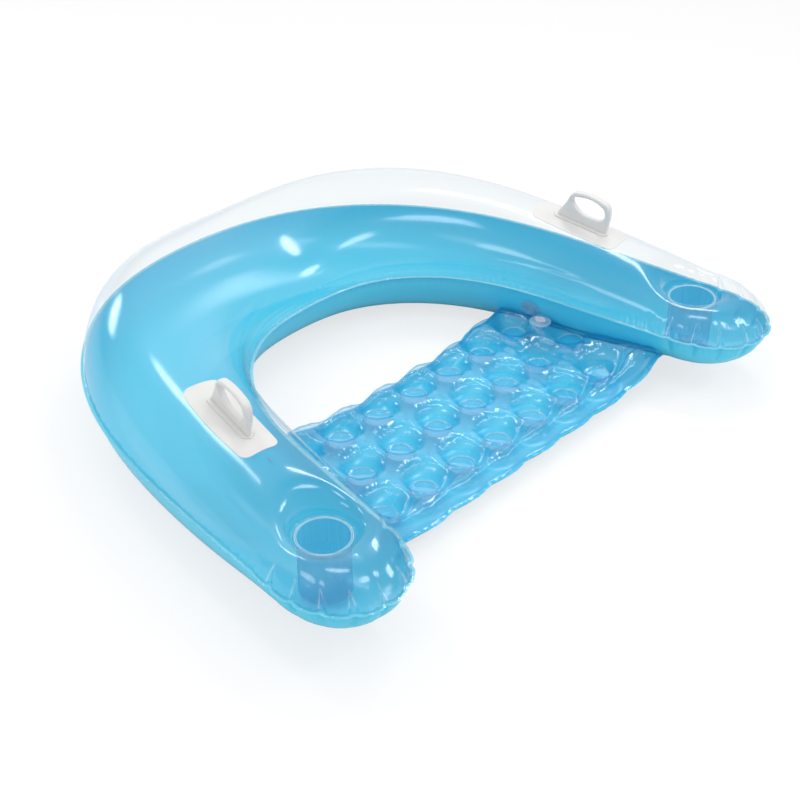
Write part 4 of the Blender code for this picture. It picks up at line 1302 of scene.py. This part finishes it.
@dataclass
class Seat:
    """The mattress: a clear and a blue film, drawn together at round welds and along a front roll.

    Attributes:
        ring: the tube's form, whose arms it hangs between.
        clear: the upper film's material.
        blue: the lower film's material.
        bead: the weld beads' material.
        level: the height at which the films are welded.
        crown: how far the upper film rises over that.
        belly: how far the lower film hangs under it.
        pitch: the distance between welds in a row.
        row_pitch: the distance between rows.
        first_row: the Y of the row at the back.
        row_count: the number of rows.
        front: the Y of the front seam.
        back: the Y of the back seam, in the middle.
        sweep: how far the back seam goes back near the arms.
        sweep_start: the X from which it does.
        sweep_run: the length over which it does.
        spread: the X past which no weld is drawn.
        wall_turn_share: how far down the arm's inner wall it is welded, as a share of a quarter turn.
        wall_film: the gap between that wall and the ends of its rows.
        wall_gap: how far every point of the films stays off it at least.
        tab_rise: how far its tabs go up the wall.
        rim: the width of the flat weld at its front and back.
        cusp: how far that width varies.
        front_wave: the height of the waves in the front weld's edge.
        front_wave_pitch: their pitch.
        scallop: how deep its edges are scalloped.
        valley_y: the Y of the valley behind the front roll.
        valley_scallop: how far the valley winds to either side of that.
        valley_share: how deep it is, as a share of the crown.
        valley_width: half its width.
        roll: how far the films take to rise from an edge.
        front_steepness: how much steeper they rise at the front.
        spot: a weld's radius.
        pillow: how far the films take to rise from a weld.
        valve_at: the plan place of its own valve.
        valve_level: the level of the film round it.
        valve_flat: the radius of that level disc.
        valve_fall: how far the film falls back round it.
        room_at: the plan place of the hollow beside the tube's valve.
        room_flat: the radius of the hollow's bottom.
        room_fall: how far its side reaches.
        room_depth: its depth.
        wrinkle_count: the number of radial wrinkles round a weld.
        wrinkle_at: the distance from a weld's centre at which they are deepest.
        wrinkle_width: how far they reach to both sides of that.
        wrinkle_depth: their depth.
        wrinkle_wander: how far they stray, as an angle.
        patches: where there are more of them.
        unevenness: the upper film's soft unevenness.
        half_gap: half the gap between the two films where they are welded.
        columns: the films' columns.
        rows: their rows.
    """

    ring: Ring
    clear: bpy.types.Material
    blue: bpy.types.Material
    bead: bpy.types.Material
    level: float = 0.040
    crown: float = 0.0355
    belly: float = 0.028
    pitch: float = 0.107
    row_pitch: float = 0.114
    first_row: float = -0.1165
    row_count: int = 3
    front: float = -0.4215
    back: float = -0.062
    sweep: float = 0.022
    sweep_start: float = 0.12
    sweep_run: float = 0.20
    spread: float = 0.40
    wall_turn_share: float = 3 / 7
    wall_film: float = 0.0012
    wall_gap: float = 0.0022
    tab_rise: float = 0.012
    rim: float = 0.010
    cusp: float = 0.0022
    front_wave: float = 0.0005
    front_wave_pitch: float = 0.019
    scallop: float = 0.010
    valley_y: float = -0.3825
    valley_scallop: float = 0.0065
    valley_share: float = 0.62
    valley_width: float = 0.0060
    roll: float = 0.036
    front_steepness: float = 1.5
    spot: float = 0.0285
    pillow: float = 0.034
    valve_at: tuple = (0.3575, -0.15925)
    valve_level: float = 0.0803
    valve_flat: float = 0.0245
    valve_fall: float = 0.0070
    room_at: tuple = (0.3635, -0.1250)
    room_flat: float = 0.011
    room_fall: float = 0.014
    room_depth: float = 0.0065
    wrinkle_count: int = 23
    wrinkle_at: float = 0.0430
    wrinkle_width: float = 0.0080
    wrinkle_depth: float = 0.0004
    wrinkle_wander: Swell = Swell(1.6, 0.06, 23)
    patches: Swell = Swell(0.8, 0.05, 21)
    unevenness: Swell = Swell(0.0009, 0.028, 33)
    half_gap: float = 0.00015
    columns: int = 430
    rows: int = 190

    def build(self) -> list:
        """Makes both films and the weld beads."""
        return self.sheet(Layer.UPPER) + self.sheet(Layer.LOWER)

    @property
    def plain(self) -> dict:
        """The attribute values of a weld rim, far from every weld."""
        return {"weld": np.array(0.08), "off_x": np.array(1.0), "off_y": np.array(1.0)}

    def spots(self) -> Points:
        """Plan centres of the round welds, in staggered rows.

        Returns:
            An array of X and Y for each weld.
        """
        half = math.ceil(self.spread / self.pitch)
        places = [
            ((column + row % 2 / 2) * self.pitch, self.first_row - row * self.row_pitch)
            for row in range(self.row_count)
            for column in range(-half, half + 1)
        ]
        return np.array([place_at for place_at in places if abs(place_at[0]) <= self.spread])

    def edge_back(self, x: Points) -> Points:
        """The back seam, drawn in behind each weld and swept back near the arms."""
        lobes = self.scallop * np.cos(2 * math.pi * x / self.pitch) / 2
        return self.back - lobes + self.sweep * smoothstep((np.abs(x) - self.sweep_start) / self.sweep_run)

    def edge_front(self, x: Points) -> Points:
        """The front seam."""
        return self.front + self.scallop * np.cos(2 * math.pi * x / self.pitch) / 4

    def valley(self, x: Points) -> Points:
        """The scalloped line between the front welds and the roll."""
        return self.valley_y - self.valley_scallop * np.cos(2 * math.pi * x / self.pitch)

    def fullness(self, x: Points, y: Points, end_x: Points) -> tuple:
        """How full the mattress is at each place.

        Args:
            x: the places' X.
            y: their Y.
            end_x: the X at which the air space ends.

        Returns:
            The fullness from 0 to 1, the distance from the nearest weld's centre, and that
            distance's X and Y.
        """
        edge_blend, weld_blend = 0.004, 0.005
        front = self.front_steepness * (y - self.edge_front(x))
        margins = np.stack([self.edge_back(x) - y, front, end_x - np.abs(x)])
        edge = -edge_blend * np.log(np.sum(np.exp(-np.maximum(margins, 0) / edge_blend), axis=0))
        edge = np.clip(edge / self.roll, 0.0, 1.0)
        way = np.stack([x, y])[:, None] - self.spots().T[:, :, None, None]
        off = np.hypot(way[0], way[1])
        nearest = off.argmin(axis=0)[None]
        off_x, off_y = (np.take_along_axis(part, nearest, 0)[0] for part in way)
        near = off.min(axis=0)
        smooth = -weld_blend * np.log(np.maximum(np.sum(np.exp(-off / weld_blend), axis=0), 1e-30))
        smooth = np.maximum(smooth, near - 0.006)
        pillow = np.clip((smooth - self.spot) / self.pillow, 0.0, 1.0)
        dome = np.sqrt(1 - (1 - edge) ** 2) * np.sqrt(1 - (1 - pillow) ** 2)
        return dome, near, off_x, off_y

    def wall_line(self, y: Points) -> tuple:
        """The line on an arm's inner wall along which the seat is welded to it.

        Args:
            y: the line's Y at each row of the films.

        Returns:
            Its X and its height.
        """
        ring = self.ring
        station = np.array([ring.station_at_y(value) for value in y])
        z = ring.form.seam_height - ring.depth(station) * math.sin(self.wall_turn_share * math.pi / 2)
        x = np.array([float(ring.inner_wall_x(*place_at)) for place_at in zip(y, z)])
        return x - self.wall_film, z

    def sheet(self, layer: Layer) -> list:
        """Makes one of the two films, and with the upper one its weld beads.

        Args:
            layer: which film.

        Returns:
            The pieces.
        """
        t = np.linspace(0, 1, self.rows)
        t = t - 0.06 * np.sin(4 * math.pi * t) / (2 * math.pi)
        y = self.front + t * (self.back - self.front)
        y = y + np.clip((y - self.first_row) / (self.back - self.first_row), 0, 1) * self.sweep
        end_x, end_z = self.wall_line(y)
        u = np.linspace(-1, 1, self.columns)[:, None]
        x = u * end_x
        front, back = self.edge_front(x), self.edge_back(x)
        y = front + t * (back - front)
        dome, near, off_x, off_y = self.fullness(x, y, end_x - self.rim)
        level = self.level + (end_z - self.level) * smoothstep((np.abs(u) - 0.7) / 0.3)
        valve = self.disc(x, y, self.valve_at, self.valve_flat, self.valve_fall)
        room = self.disc(x, y, self.room_at, self.room_flat, self.room_fall) * (1 - valve)
        wall = self.wall_limit(y, level)
        x = np.clip(x, -wall, wall)
        if layer is Layer.UPPER:
            dome = dome * (1 - self.valley_share * bell(y - self.valley(x), self.valley_width))
            z = level + 2 * self.half_gap + self.crown * dome
            z = z + self.wrinkles(x, y, near, np.arctan2(off_y, off_x), dome)
            z = z + (self.valve_level - z) * valve - self.room_depth * room
            weld = 0.35 * (1 - smoothstep((near - self.spot + 0.0015) / 0.002))
            finish, slot, beads = self.clear, "clear_vinyl", [self.beads(x, y, z)]
        else:
            z = level - self.belly * dome
            weld = np.zeros(x.shape)
            finish, slot, beads = self.blue, "blue_vinyl", []
        grid = np.stack([x, y, z], -1)
        skin = Skin(f"seat_{layer.value}_film")
        skin.add(grid, faces_up=layer is Layer.UPPER, weld=weld, off_x=off_x, off_y=off_y)
        self.add_edges(skin, grid, layer)
        self.add_tabs(skin, grid, end_z + self.tab_rise)
        return [skin.build(finish, slot, f"seat_{layer.value}_sheet")] + beads

    def disc(self, x: Points, y: Points, at: tuple, flat: float, fall: float) -> Points:
        """1 on a disc in plan, falling to 0 round it."""
        return 1 - smoothstep((np.hypot(x - at[0], y - at[1]) - flat) / fall)

    def beads(self, x: Points, y: Points, z: Points) -> bpy.types.Object:
        """Makes the fine weld beads round the flat discs that lie wholly between the edges.

        Args:
            x: the upper film's X.
            y: its Y.
            z: its height.

        Returns:
            The beads, as one piece.
        """
        places, ups = [], []
        for a, b in self.spots():
            off = np.hypot(x - a, y - b)
            i, j = np.unravel_index(np.argmin(off), off.shape)
            if off[i, j] > 0.004 or not 4 < i < x.shape[0] - 5 or not 2 < j < x.shape[1] - 3:
                continue
            slope_x = (z[i + 3, j] - z[i - 3, j]) / (x[i + 3, j] - x[i - 3, j])
            slope_y = (z[i, j + 2] - z[i, j - 2]) / (y[i, j + 2] - y[i, j - 2])
            places.append((a, b, z[i, j] + 0.0004))
            ups.append((-slope_x, -slope_y, 1.0))
        rings = WeldRings("seat_weld_beads", self.bead, 0.0006, 72)
        radii = np.full(len(places), self.spot - 0.0006)
        return rings.build(np.array(places), radii, unit(np.array(ups)), "clear_vinyl")

    def wall_limit(self, y: Points, z: Points) -> Points:
        """How far from the middle plane a film can go before it meets the arms' inner walls.

        Args:
            y: the film's Y.
            z: its height.

        Returns:
            The greatest distance at each point.
        """
        levels = np.linspace(0.030, 0.085, 6)
        places = np.linspace(float(y.min()) - 0.01, float(y.max()) + 0.01, 90)
        table = np.array([self.ring.inner_wall_x(places, level) for level in levels])
        share = np.clip((z - levels[0]) / (levels[1] - levels[0]), 0, len(levels) - 1.001)
        low = share.astype(int)
        limits = np.array([np.interp(y, places, row) for row in table])
        index = np.indices(y.shape)
        under, over = limits[low, index[0], index[1]], limits[low + 1, index[0], index[1]]
        return under + (over - under) * (share - low) - self.wall_gap

    def wrinkles(self, x: Points, y: Points, near: Points, heading: Points, dome: Points) -> Points:
        """Radial wrinkles at the rims of the welds, and a soft unevenness.

        Args:
            x: the film's X.
            y: its Y.
            near: the distance from the nearest weld's centre.
            heading: the direction from that centre.
            dome: how full the mattress is.

        Returns:
            The height of the wrinkles.
        """
        plan = np.stack([x, y], -1)
        patchy = smoothstep(0.60 + self.patches.at(plan))
        back = 0.18 + 0.82 * smoothstep(0.30 + 0.85 * np.sin(heading + 0.35))
        radial = np.sin(heading * self.wrinkle_count + self.wrinkle_wander.at(plan))
        rims = self.wrinkle_depth * radial * bell(near - self.wrinkle_at, self.wrinkle_width) * patchy * back
        return rims + self.unevenness.at(plan) * dome

    def add_edges(self, skin: Skin, grid: Points, layer: Layer) -> None:
        """Adds the flat weld rims at the front and the back.

        Args:
            skin: the film.
            grid: its points.
            layer: which film it is.
        """
        lift = self.half_gap if layer is Layer.UPPER else -self.half_gap
        steps = np.linspace(0, 1, 5)
        front, back = (0, -1.0, 0.0, self.front_wave), (-1, 1.0, math.pi / 2, 0.0)
        for index, sign, phase, height in (front, back):
            x, y, z = grid[:, index, :, None].transpose(1, 0, 2)
            cusps = self.cusp * np.abs(np.sin(math.pi * x / self.pitch + phase))
            wave = height * np.sin(x * 2 * math.pi / self.front_wave_pitch)
            edge_y = y + sign * (self.rim - self.cusp + cusps) * steps
            edge_z = z + wave * steps + lift * (steps > 0)
            strip = np.stack([np.broadcast_to(x, edge_y.shape), edge_y, edge_z], -1)
            skin.add(strip, faces_up=layer is Layer.UPPER, **self.plain)

    def add_tabs(self, skin: Skin, grid: Points, tip_z: Points) -> None:
        """Adds the tabs at both sides, which are welded to the arms.

        Args:
            skin: the film.
            grid: its points.
            tip_z: the height of the tabs' ends at each row.
        """
        for index, sign in ((0, -1.0), (-1, 1.0)):
            line = grid[index]
            reach = self.wall_limit(line[:, 1:2], tip_z[:, None])[:, 0]
            tip = np.stack([sign * reach, line[:, 1], tip_z], -1)
            skin.add(np.stack([line, (line + tip) / 2, tip], 1), **self.plain)


# Cups and handles


@dataclass
class CupHolder:
    """A round pocket sunk into the end of an arm: a sleeve with a welded lip, and its bottom.

    Attributes:
        side: the arm that it is in.
        centre: its plan place on the left arm.
        finish: its film's material.
        bead: its weld beads' material.
        bore: its inner radius.
        wall: its thickness.
        rim: the height of its lip.
        depth: its depth.
        lip: the lip's width outside the wall.
        ripple: the depth of the film's ripples.
        wall_steps: the steps down the wall.
        steps: the steps round it.
    """

    side: Side
    centre: Points
    finish: bpy.types.Material
    bead: bpy.types.Material
    bore: float = 0.0475
    wall: float = 0.0012
    rim: float = 0.170
    depth: float = 0.112
    lip: float = 0.0045
    ripple: float = 0.0005
    wall_steps: int = 24
    steps: int = 128

    def build(self) -> list:
        """Makes the sleeve, the bottom and the beads on the lip.

        Returns:
            The three pieces.
        """
        word, foot, out = self.side.word, self.rim - self.depth, self.bore + self.wall
        wall = np.linspace((self.bore + 0.0002, foot), (self.bore, self.rim - 0.020), self.wall_steps + 1)
        lip = [
            (self.bore, self.rim - 0.006),
            (self.bore + 0.0003, self.rim - 0.0015),
            (self.bore + 0.0014, self.rim - 0.0001),
            (self.bore + 0.0030, self.rim),
            (self.bore + 0.0040, self.rim - 0.0006),
            (self.bore + 0.0052, self.rim - 0.0002),
            (out + self.lip - 0.0008, self.rim - 0.0003),
            (out + self.lip, self.rim - 0.0008),
        ]
        level = foot - 0.0003
        base = [(0.0005, level), (self.bore * 0.9, level), (self.bore, level - 0.0002), (out, level - 0.0012)]
        sleeve = self.turned(f"cup_{word}_sleeve", np.concatenate([wall, lip]), self.ripple)
        bottom = self.turned(f"cup_{word}_bottom", np.array(base), 0.0)
        pieces = [
            sleeve.build(self.finish, "blue_vinyl", f"cup_sleeve_{word}"),
            bottom.build(self.finish, "blue_vinyl", f"cup_base_{word}"),
        ]
        middle = (self.side.value * self.centre[0], self.centre[1], self.rim + 0.0006)
        radii = np.array([self.bore - 0.0003, self.bore + 0.0026])
        rings = WeldRings(f"cup_{word}_lip_beads", self.bead, 0.0007, 96)
        ups = np.array([(0.0, 0.0, 1.0)] * 2)
        return pieces + [rings.build(np.array([middle] * 2), radii, ups, "blue_vinyl")]

    def turned(self, name: str, profile: Points, ripple: float) -> Skin:
        """A profile turned about the cup holder's axis.

        Args:
            name: the piece's name.
            profile: its radii and heights.
            ripple: the depth of its ripples.

        Returns:
            The skin.
        """
        angle = np.linspace(0, 2 * math.pi, self.steps + 1)
        radius, level = profile.T
        around = 0.6 * np.sin(angle * 9 + 1) + 0.4 * np.sin(angle * 14) + 0.3 * np.sin(angle * 23 + 2)
        below_lip = smoothstep((self.rim - 0.004 - level) / 0.03)
        r = radius - ripple * (1 + around[:, None]) * 0.5 * below_lip
        x = self.side.value * self.centre[0] + np.cos(angle)[:, None] * r
        y = self.centre[1] + np.sin(angle)[:, None] * r
        skin = Skin(name)
        fade = np.clip((level - level.min()) / (0.6 * self.depth), 0.0, 1.0)
        skin.add(np.stack([x, y, np.broadcast_to(level, x.shape)], -1), fade=fade)
        return skin


@dataclass
class Handle:
    """A welded patch on the crown of an arm with a moulded grip on it.

    Attributes:
        side: the arm that it is on.
        ring: the tube's form.
        finish: its material.
        forward_y: the Y of its middle.
        length: the patch's length along the arm.
        half_width: half the patch's width.
        bow: how much narrower the patch is at its ends.
        corner: its corners' radius.
        thickness: its thickness.
        lift: its height over the film.
        press_at: how far inside its edge a line is pressed.
        press: how deep.
        press_width: half the pressed line's width.
        edge_round: how far in its edge is rounded.
    """

    side: Side
    ring: Ring
    finish: bpy.types.Material
    forward_y: float = -0.1385
    length: float = 0.210
    half_width: float = 0.042
    bow: float = 0.004
    corner: float = 0.016
    thickness: float = 0.0010
    lift: float = 0.0012
    press_at: float = 0.0075
    press: float = 0.0007
    press_width: float = 0.0012
    edge_round: float = 0.0016

    def build(self) -> list:
        """Makes the patch and finishes the grip, which keeps its solid.

        Returns:
            Both pieces.
        """
        grip = finished(f"handle_grip_{self.side.word}", self.finish)
        return [self.patch(), grip]

    def outline(self, t: Points) -> Points:
        """Half width of the patch.

        Args:
            t: places along it, as shares of half its length.

        Returns:
            The half width at each.
        """
        reach = np.abs(t) * self.length / 2
        sides = self.half_width - self.bow * t * t
        into = np.clip((reach - (self.length / 2 - self.corner)) / self.corner, 0.0, 1.0)
        return sides - self.corner * (1 - np.sqrt(1 - into**2))

    def crown_point(self, s: Points, across: Points, layer: Points) -> Points:
        """Points over the tube's crown.

        Args:
            s: their stations.
            across: their offsets across the arm.
            layer: their heights over the film.

        Returns:
            The points, on the handle's own arm.
        """
        ring, out = self.ring, self.ring.outward(s)
        crown, width = ring.crown(s), ring.width(s)
        share = np.clip(across / width, -1, 1)
        sine = np.sqrt(1 - share**2)
        plan = ring.spine(s) + out * across[..., None]
        film = np.concatenate([plan, (ring.form.seam_height + crown * sine)[..., None]], -1)
        normal = np.concatenate([out * (share / width)[..., None], (sine / crown)[..., None]], -1)
        return (film + unit(normal) * layer[..., None]) * (self.side.value, 1.0, 1.0)

    def patch(self) -> bpy.types.Object:
        """Makes the patch: thin, with a soft edge and a line pressed inside it.

        Returns:
            The patch.
        """
        middle = self.ring.station_at_y(self.forward_y)
        t = np.sin(np.linspace(-1, 1, 90) * math.pi / 2)[:, None]
        v = np.sin(np.linspace(-1, 1, 44) * math.pi / 2)
        half = self.outline(t)
        across = half * v
        s = np.broadcast_to(middle + t * self.length / 2, across.shape)
        inner = np.minimum(half - np.abs(across), (1 - np.abs(t)) * self.length / 2)
        edge = self.thickness * np.sqrt(np.clip(inner / self.edge_round, 0, 1))
        line = self.press * bell(inner - self.press_at, self.press_width)
        skin = Skin(f"handle_{self.side.word}_patch")
        skin.add(self.crown_point(s, across, self.lift + edge - line))
        return skin.build(self.finish, "white_vinyl", f"handle_patch_{self.side.word}")


# Studio


@dataclass(frozen=True)
class Softbox:
    """An oval lamp that points at the raft.

    Attributes:
        name: its name.
        at: its place.
        size: its long and short diameters.
        brightness: its radiance, where a white wall in plain daylight has about 1.
        long_way: the direction of its long diameter.
    """

    name: str
    at: tuple
    size: tuple
    brightness: float
    long_way: tuple

    def build(self) -> None:
        """Makes the lamp."""
        data = bpy.data.lights.new(self.name, "AREA")
        data.shape = "ELLIPSE"
        data.size, data.size_y = self.size
        data.energy = self.brightness * math.pi * (math.pi / 4 * data.size * data.size_y)
        lamp = bpy.data.objects.new(self.name, data)
        back = Vector(self.at).normalized()
        across = Vector(self.long_way) - back * back.dot(Vector(self.long_way))
        across.normalize()
        lamp.matrix_world = Matrix((across, back.cross(across), back)).transposed().to_4x4()
        lamp.location = self.at
        bpy.context.scene.collection.objects.link(lamp)


@dataclass(frozen=True)
class Studio:
    """The pale floor, the backdrop light, the lamps and the camera.

    Attributes:
        floor_half: half the floor's side.
        floor_lit: the floor's own colour, as lamps light it.
        floor_white: the share of even white in it, to the camera only.
        floor_glow: how bright that white is.
        world_strength: the surround's strength as a light.
        world_mirrored: its strength in a mirrored ray.
        window_strength: the strength in a mirrored ray where its bright side is.
        window_toward: the direction of that side.
        window_edges: where that side starts and is full, as the cosine of the angle from it.
        camera_at: the camera's place.
        camera_aim: the point that it looks at.
        lens: its focal length, in millimetres.
        resolution: the picture's width and height.
    """

    floor_half: float = 30.0
    floor_lit: float = 0.86
    floor_white: float = 0.68
    floor_glow: float = 1.04
    world_strength: float = 0.79
    world_mirrored: float = 0.55
    window_strength: float = 1.20
    window_toward: tuple = (0.59, 0.56, 0.58)
    window_edges: tuple = (0.62, 0.97)
    camera_at: tuple = (-1.7725, -1.7763, 1.7270)
    camera_aim: tuple = (-0.0929, -0.1649, 0.1000)
    lens: float = 63.95
    resolution: int = 800

    def build(self) -> None:
        """Builds the whole set."""
        self.floor()
        self.backdrop()
        for lamp in self.lamps():
            lamp.build()
        self.camera()

    def lamps(self) -> list:
        """The soft lamps, each where the film mirrors it at one of the photo's highlights.

        Returns:
            The lamps.
        """
        return [
            Softbox("top", (-0.60, -0.66, 2.95), (1.20, 0.50), 5.0, (-0.82, 0.57, 0.0)),
            Softbox("front", (1.60, -1.90, 1.95), (0.75, 0.60), 8.0, (1.0, 0.8, 0.0)),
            Softbox("left", (-2.40, -0.10, 1.90), (1.20, 0.60), 3.2, (0.0, 1.0, 0.0)),
            Softbox("back", (-0.30, 2.86, 0.84), (0.80, 0.40), 8.0, (1.0, 0.0, 0.0)),
            Softbox("strip", (1.45, 0.20, 2.62), (1.50, 0.34), 12.0, (0.0, 1.0, 0.0)),
            Softbox("near", (-0.45, 1.60, 2.50), (1.10, 0.36), 9.0, (0.0, 1.0, -0.6)),
            Softbox("tips", (0.14, -1.85, 2.43), (0.80, 0.46), 6.0, (1.0, 0.0, 0.0)),
        ]

    def floor(self) -> None:
        """A plain pale floor."""
        mesh = bpy.data.meshes.new("floor")
        signs = ((-1, -1), (1, -1), (1, 1), (-1, 1))
        corners = [(x * self.floor_half, y * self.floor_half, 0) for x, y in signs]
        mesh.from_pydata(corners, [], [(0, 1, 2, 3)])
        obj = bpy.data.objects.new("floor", mesh)
        bpy.context.scene.collection.objects.link(obj)
        n = Nodes.of_material("floor")
        path = n.add("ShaderNodeLightPath")
        share = n.math("MULTIPLY", path.outputs["Is Camera Ray"], self.floor_white)
        body = n.add("ShaderNodeBsdfDiffuse", {"Color": (self.floor_lit,) * 3 + (1.0,)})
        white = n.add("ShaderNodeEmission", {"Color": WHITE, "Strength": self.floor_glow})
        mesh.materials.append(n.finish(n.mix(share, body, white).outputs[0]))

    def backdrop(self) -> None:
        """A white surround: white to the camera, softer as a light."""
        world = bpy.data.worlds.new("studio")
        n = Nodes(world, "ShaderNodeOutputWorld")
        path = n.add("ShaderNodeLightPath").outputs
        toward = n.add("ShaderNodeTexCoord").outputs["Generated"]
        off = {0: toward, 1: Vector(self.window_toward).normalized()}
        window = n.add("ShaderNodeVectorMath", off, operation="DOT_PRODUCT").outputs["Value"]
        (low, high), dim, bright = self.window_edges, self.world_mirrored, self.window_strength
        limits = {"Value": window, "From Min": low, "From Max": high, "To Min": dim, "To Max": bright}
        rise = n.add("ShaderNodeMapRange", limits, interpolation_type="SMOOTHSTEP").outputs["Result"]
        layer = n.add("ShaderNodeBackground", {"Color": WHITE, "Strength": self.world_strength})
        for ray, strength in (("Is Glossy Ray", rise), ("Is Camera Ray", 1.0)):
            sky = n.add("ShaderNodeBackground", {"Color": WHITE, "Strength": strength})
            layer = n.mix(path[ray], layer, sky)
        n.finish(layer.outputs[0])
        bpy.context.scene.world = world

    def camera(self) -> None:
        """The camera that took the photo."""
        data = bpy.data.cameras.new("camera")
        data.lens = self.lens
        data.sensor_width = 36.0
        obj = bpy.data.objects.new("camera", data)
        obj.location = self.camera_at
        obj.rotation_mode = "QUATERNION"
        obj.rotation_quaternion = (Vector(self.camera_aim) - Vector(self.camera_at)).to_track_quat("-Z", "Y")
        bpy.context.scene.collection.objects.link(obj)
        scene = bpy.context.scene
        scene.camera = obj
        scene.render.resolution_x = scene.render.resolution_y = self.resolution
        scene.view_settings.view_transform = "Standard"
        scene.cycles.transparent_max_bounces = 24


# Main


def valve_pieces() -> list:
    """Finishes the valves' pieces, which keep their solids.

    Returns:
        The pieces.
    """
    faint = Moulded("ring_valve_vinyl", (0.42, 0.72, 0.86, 1.0), 0.25, through=0.70).material()
    milky = Moulded("seat_valve_vinyl", (0.62, 0.84, 0.92, 1.0), 0.25, through=0.72).material()
    stopper = Moulded("seat_plug_vinyl", (0.76, 0.70, 0.78, 1.0), 0.22, through=0.25).material()
    finishes = {"ring_valve": faint, "seat_valve": milky, "seat_valve_plug": stopper}
    return [
        finished(name, finishes.get(name, finishes[name[:10]]))
        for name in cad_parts
        if name.startswith(("ring_valve", "seat_valve"))
    ]


def main() -> None:
    """Builds the dressed raft and its studio, and reports each piece."""
    logging.basicConfig(level=logging.INFO)
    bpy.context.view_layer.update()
    ring = Ring(RingForm())
    clear = ClearFilm().material()
    blue = Moulded("blue_film", (0.078, 0.590, 0.815, 1.0), 0.20).material()
    white = Moulded("white_vinyl", (0.69, 0.69, 0.68, 1.0)).material()
    seat_tints = {"tint": (0.94, 0.975, 0.985, 1.0), "edge_tint": (0.50, 0.79, 0.92, 1.0)}
    seat_film = SeatFilm("seat_film", facing=0.085, roughness=0.065, **seat_tints).material()
    cup_film = CupFilm().material()
    bead = Moulded("weld_bead", (0.62, 0.88, 0.95, 1.0), 0.25, through=0.30).material()
    pieces = Tube(ring, clear, blue).build() + Seat(ring, seat_film, blue, bead).build()
    for side in Side:
        pieces += CupHolder(side, ring.cup_centre(), cup_film, bead).build()
        pieces += Handle(side, ring, white).build()
    for piece in pieces + valve_pieces():
        log.info("%s: %d faces", piece.name, len(piece.data.polygons))
    Studio().build()


if __name__ == "__main__":
    main()
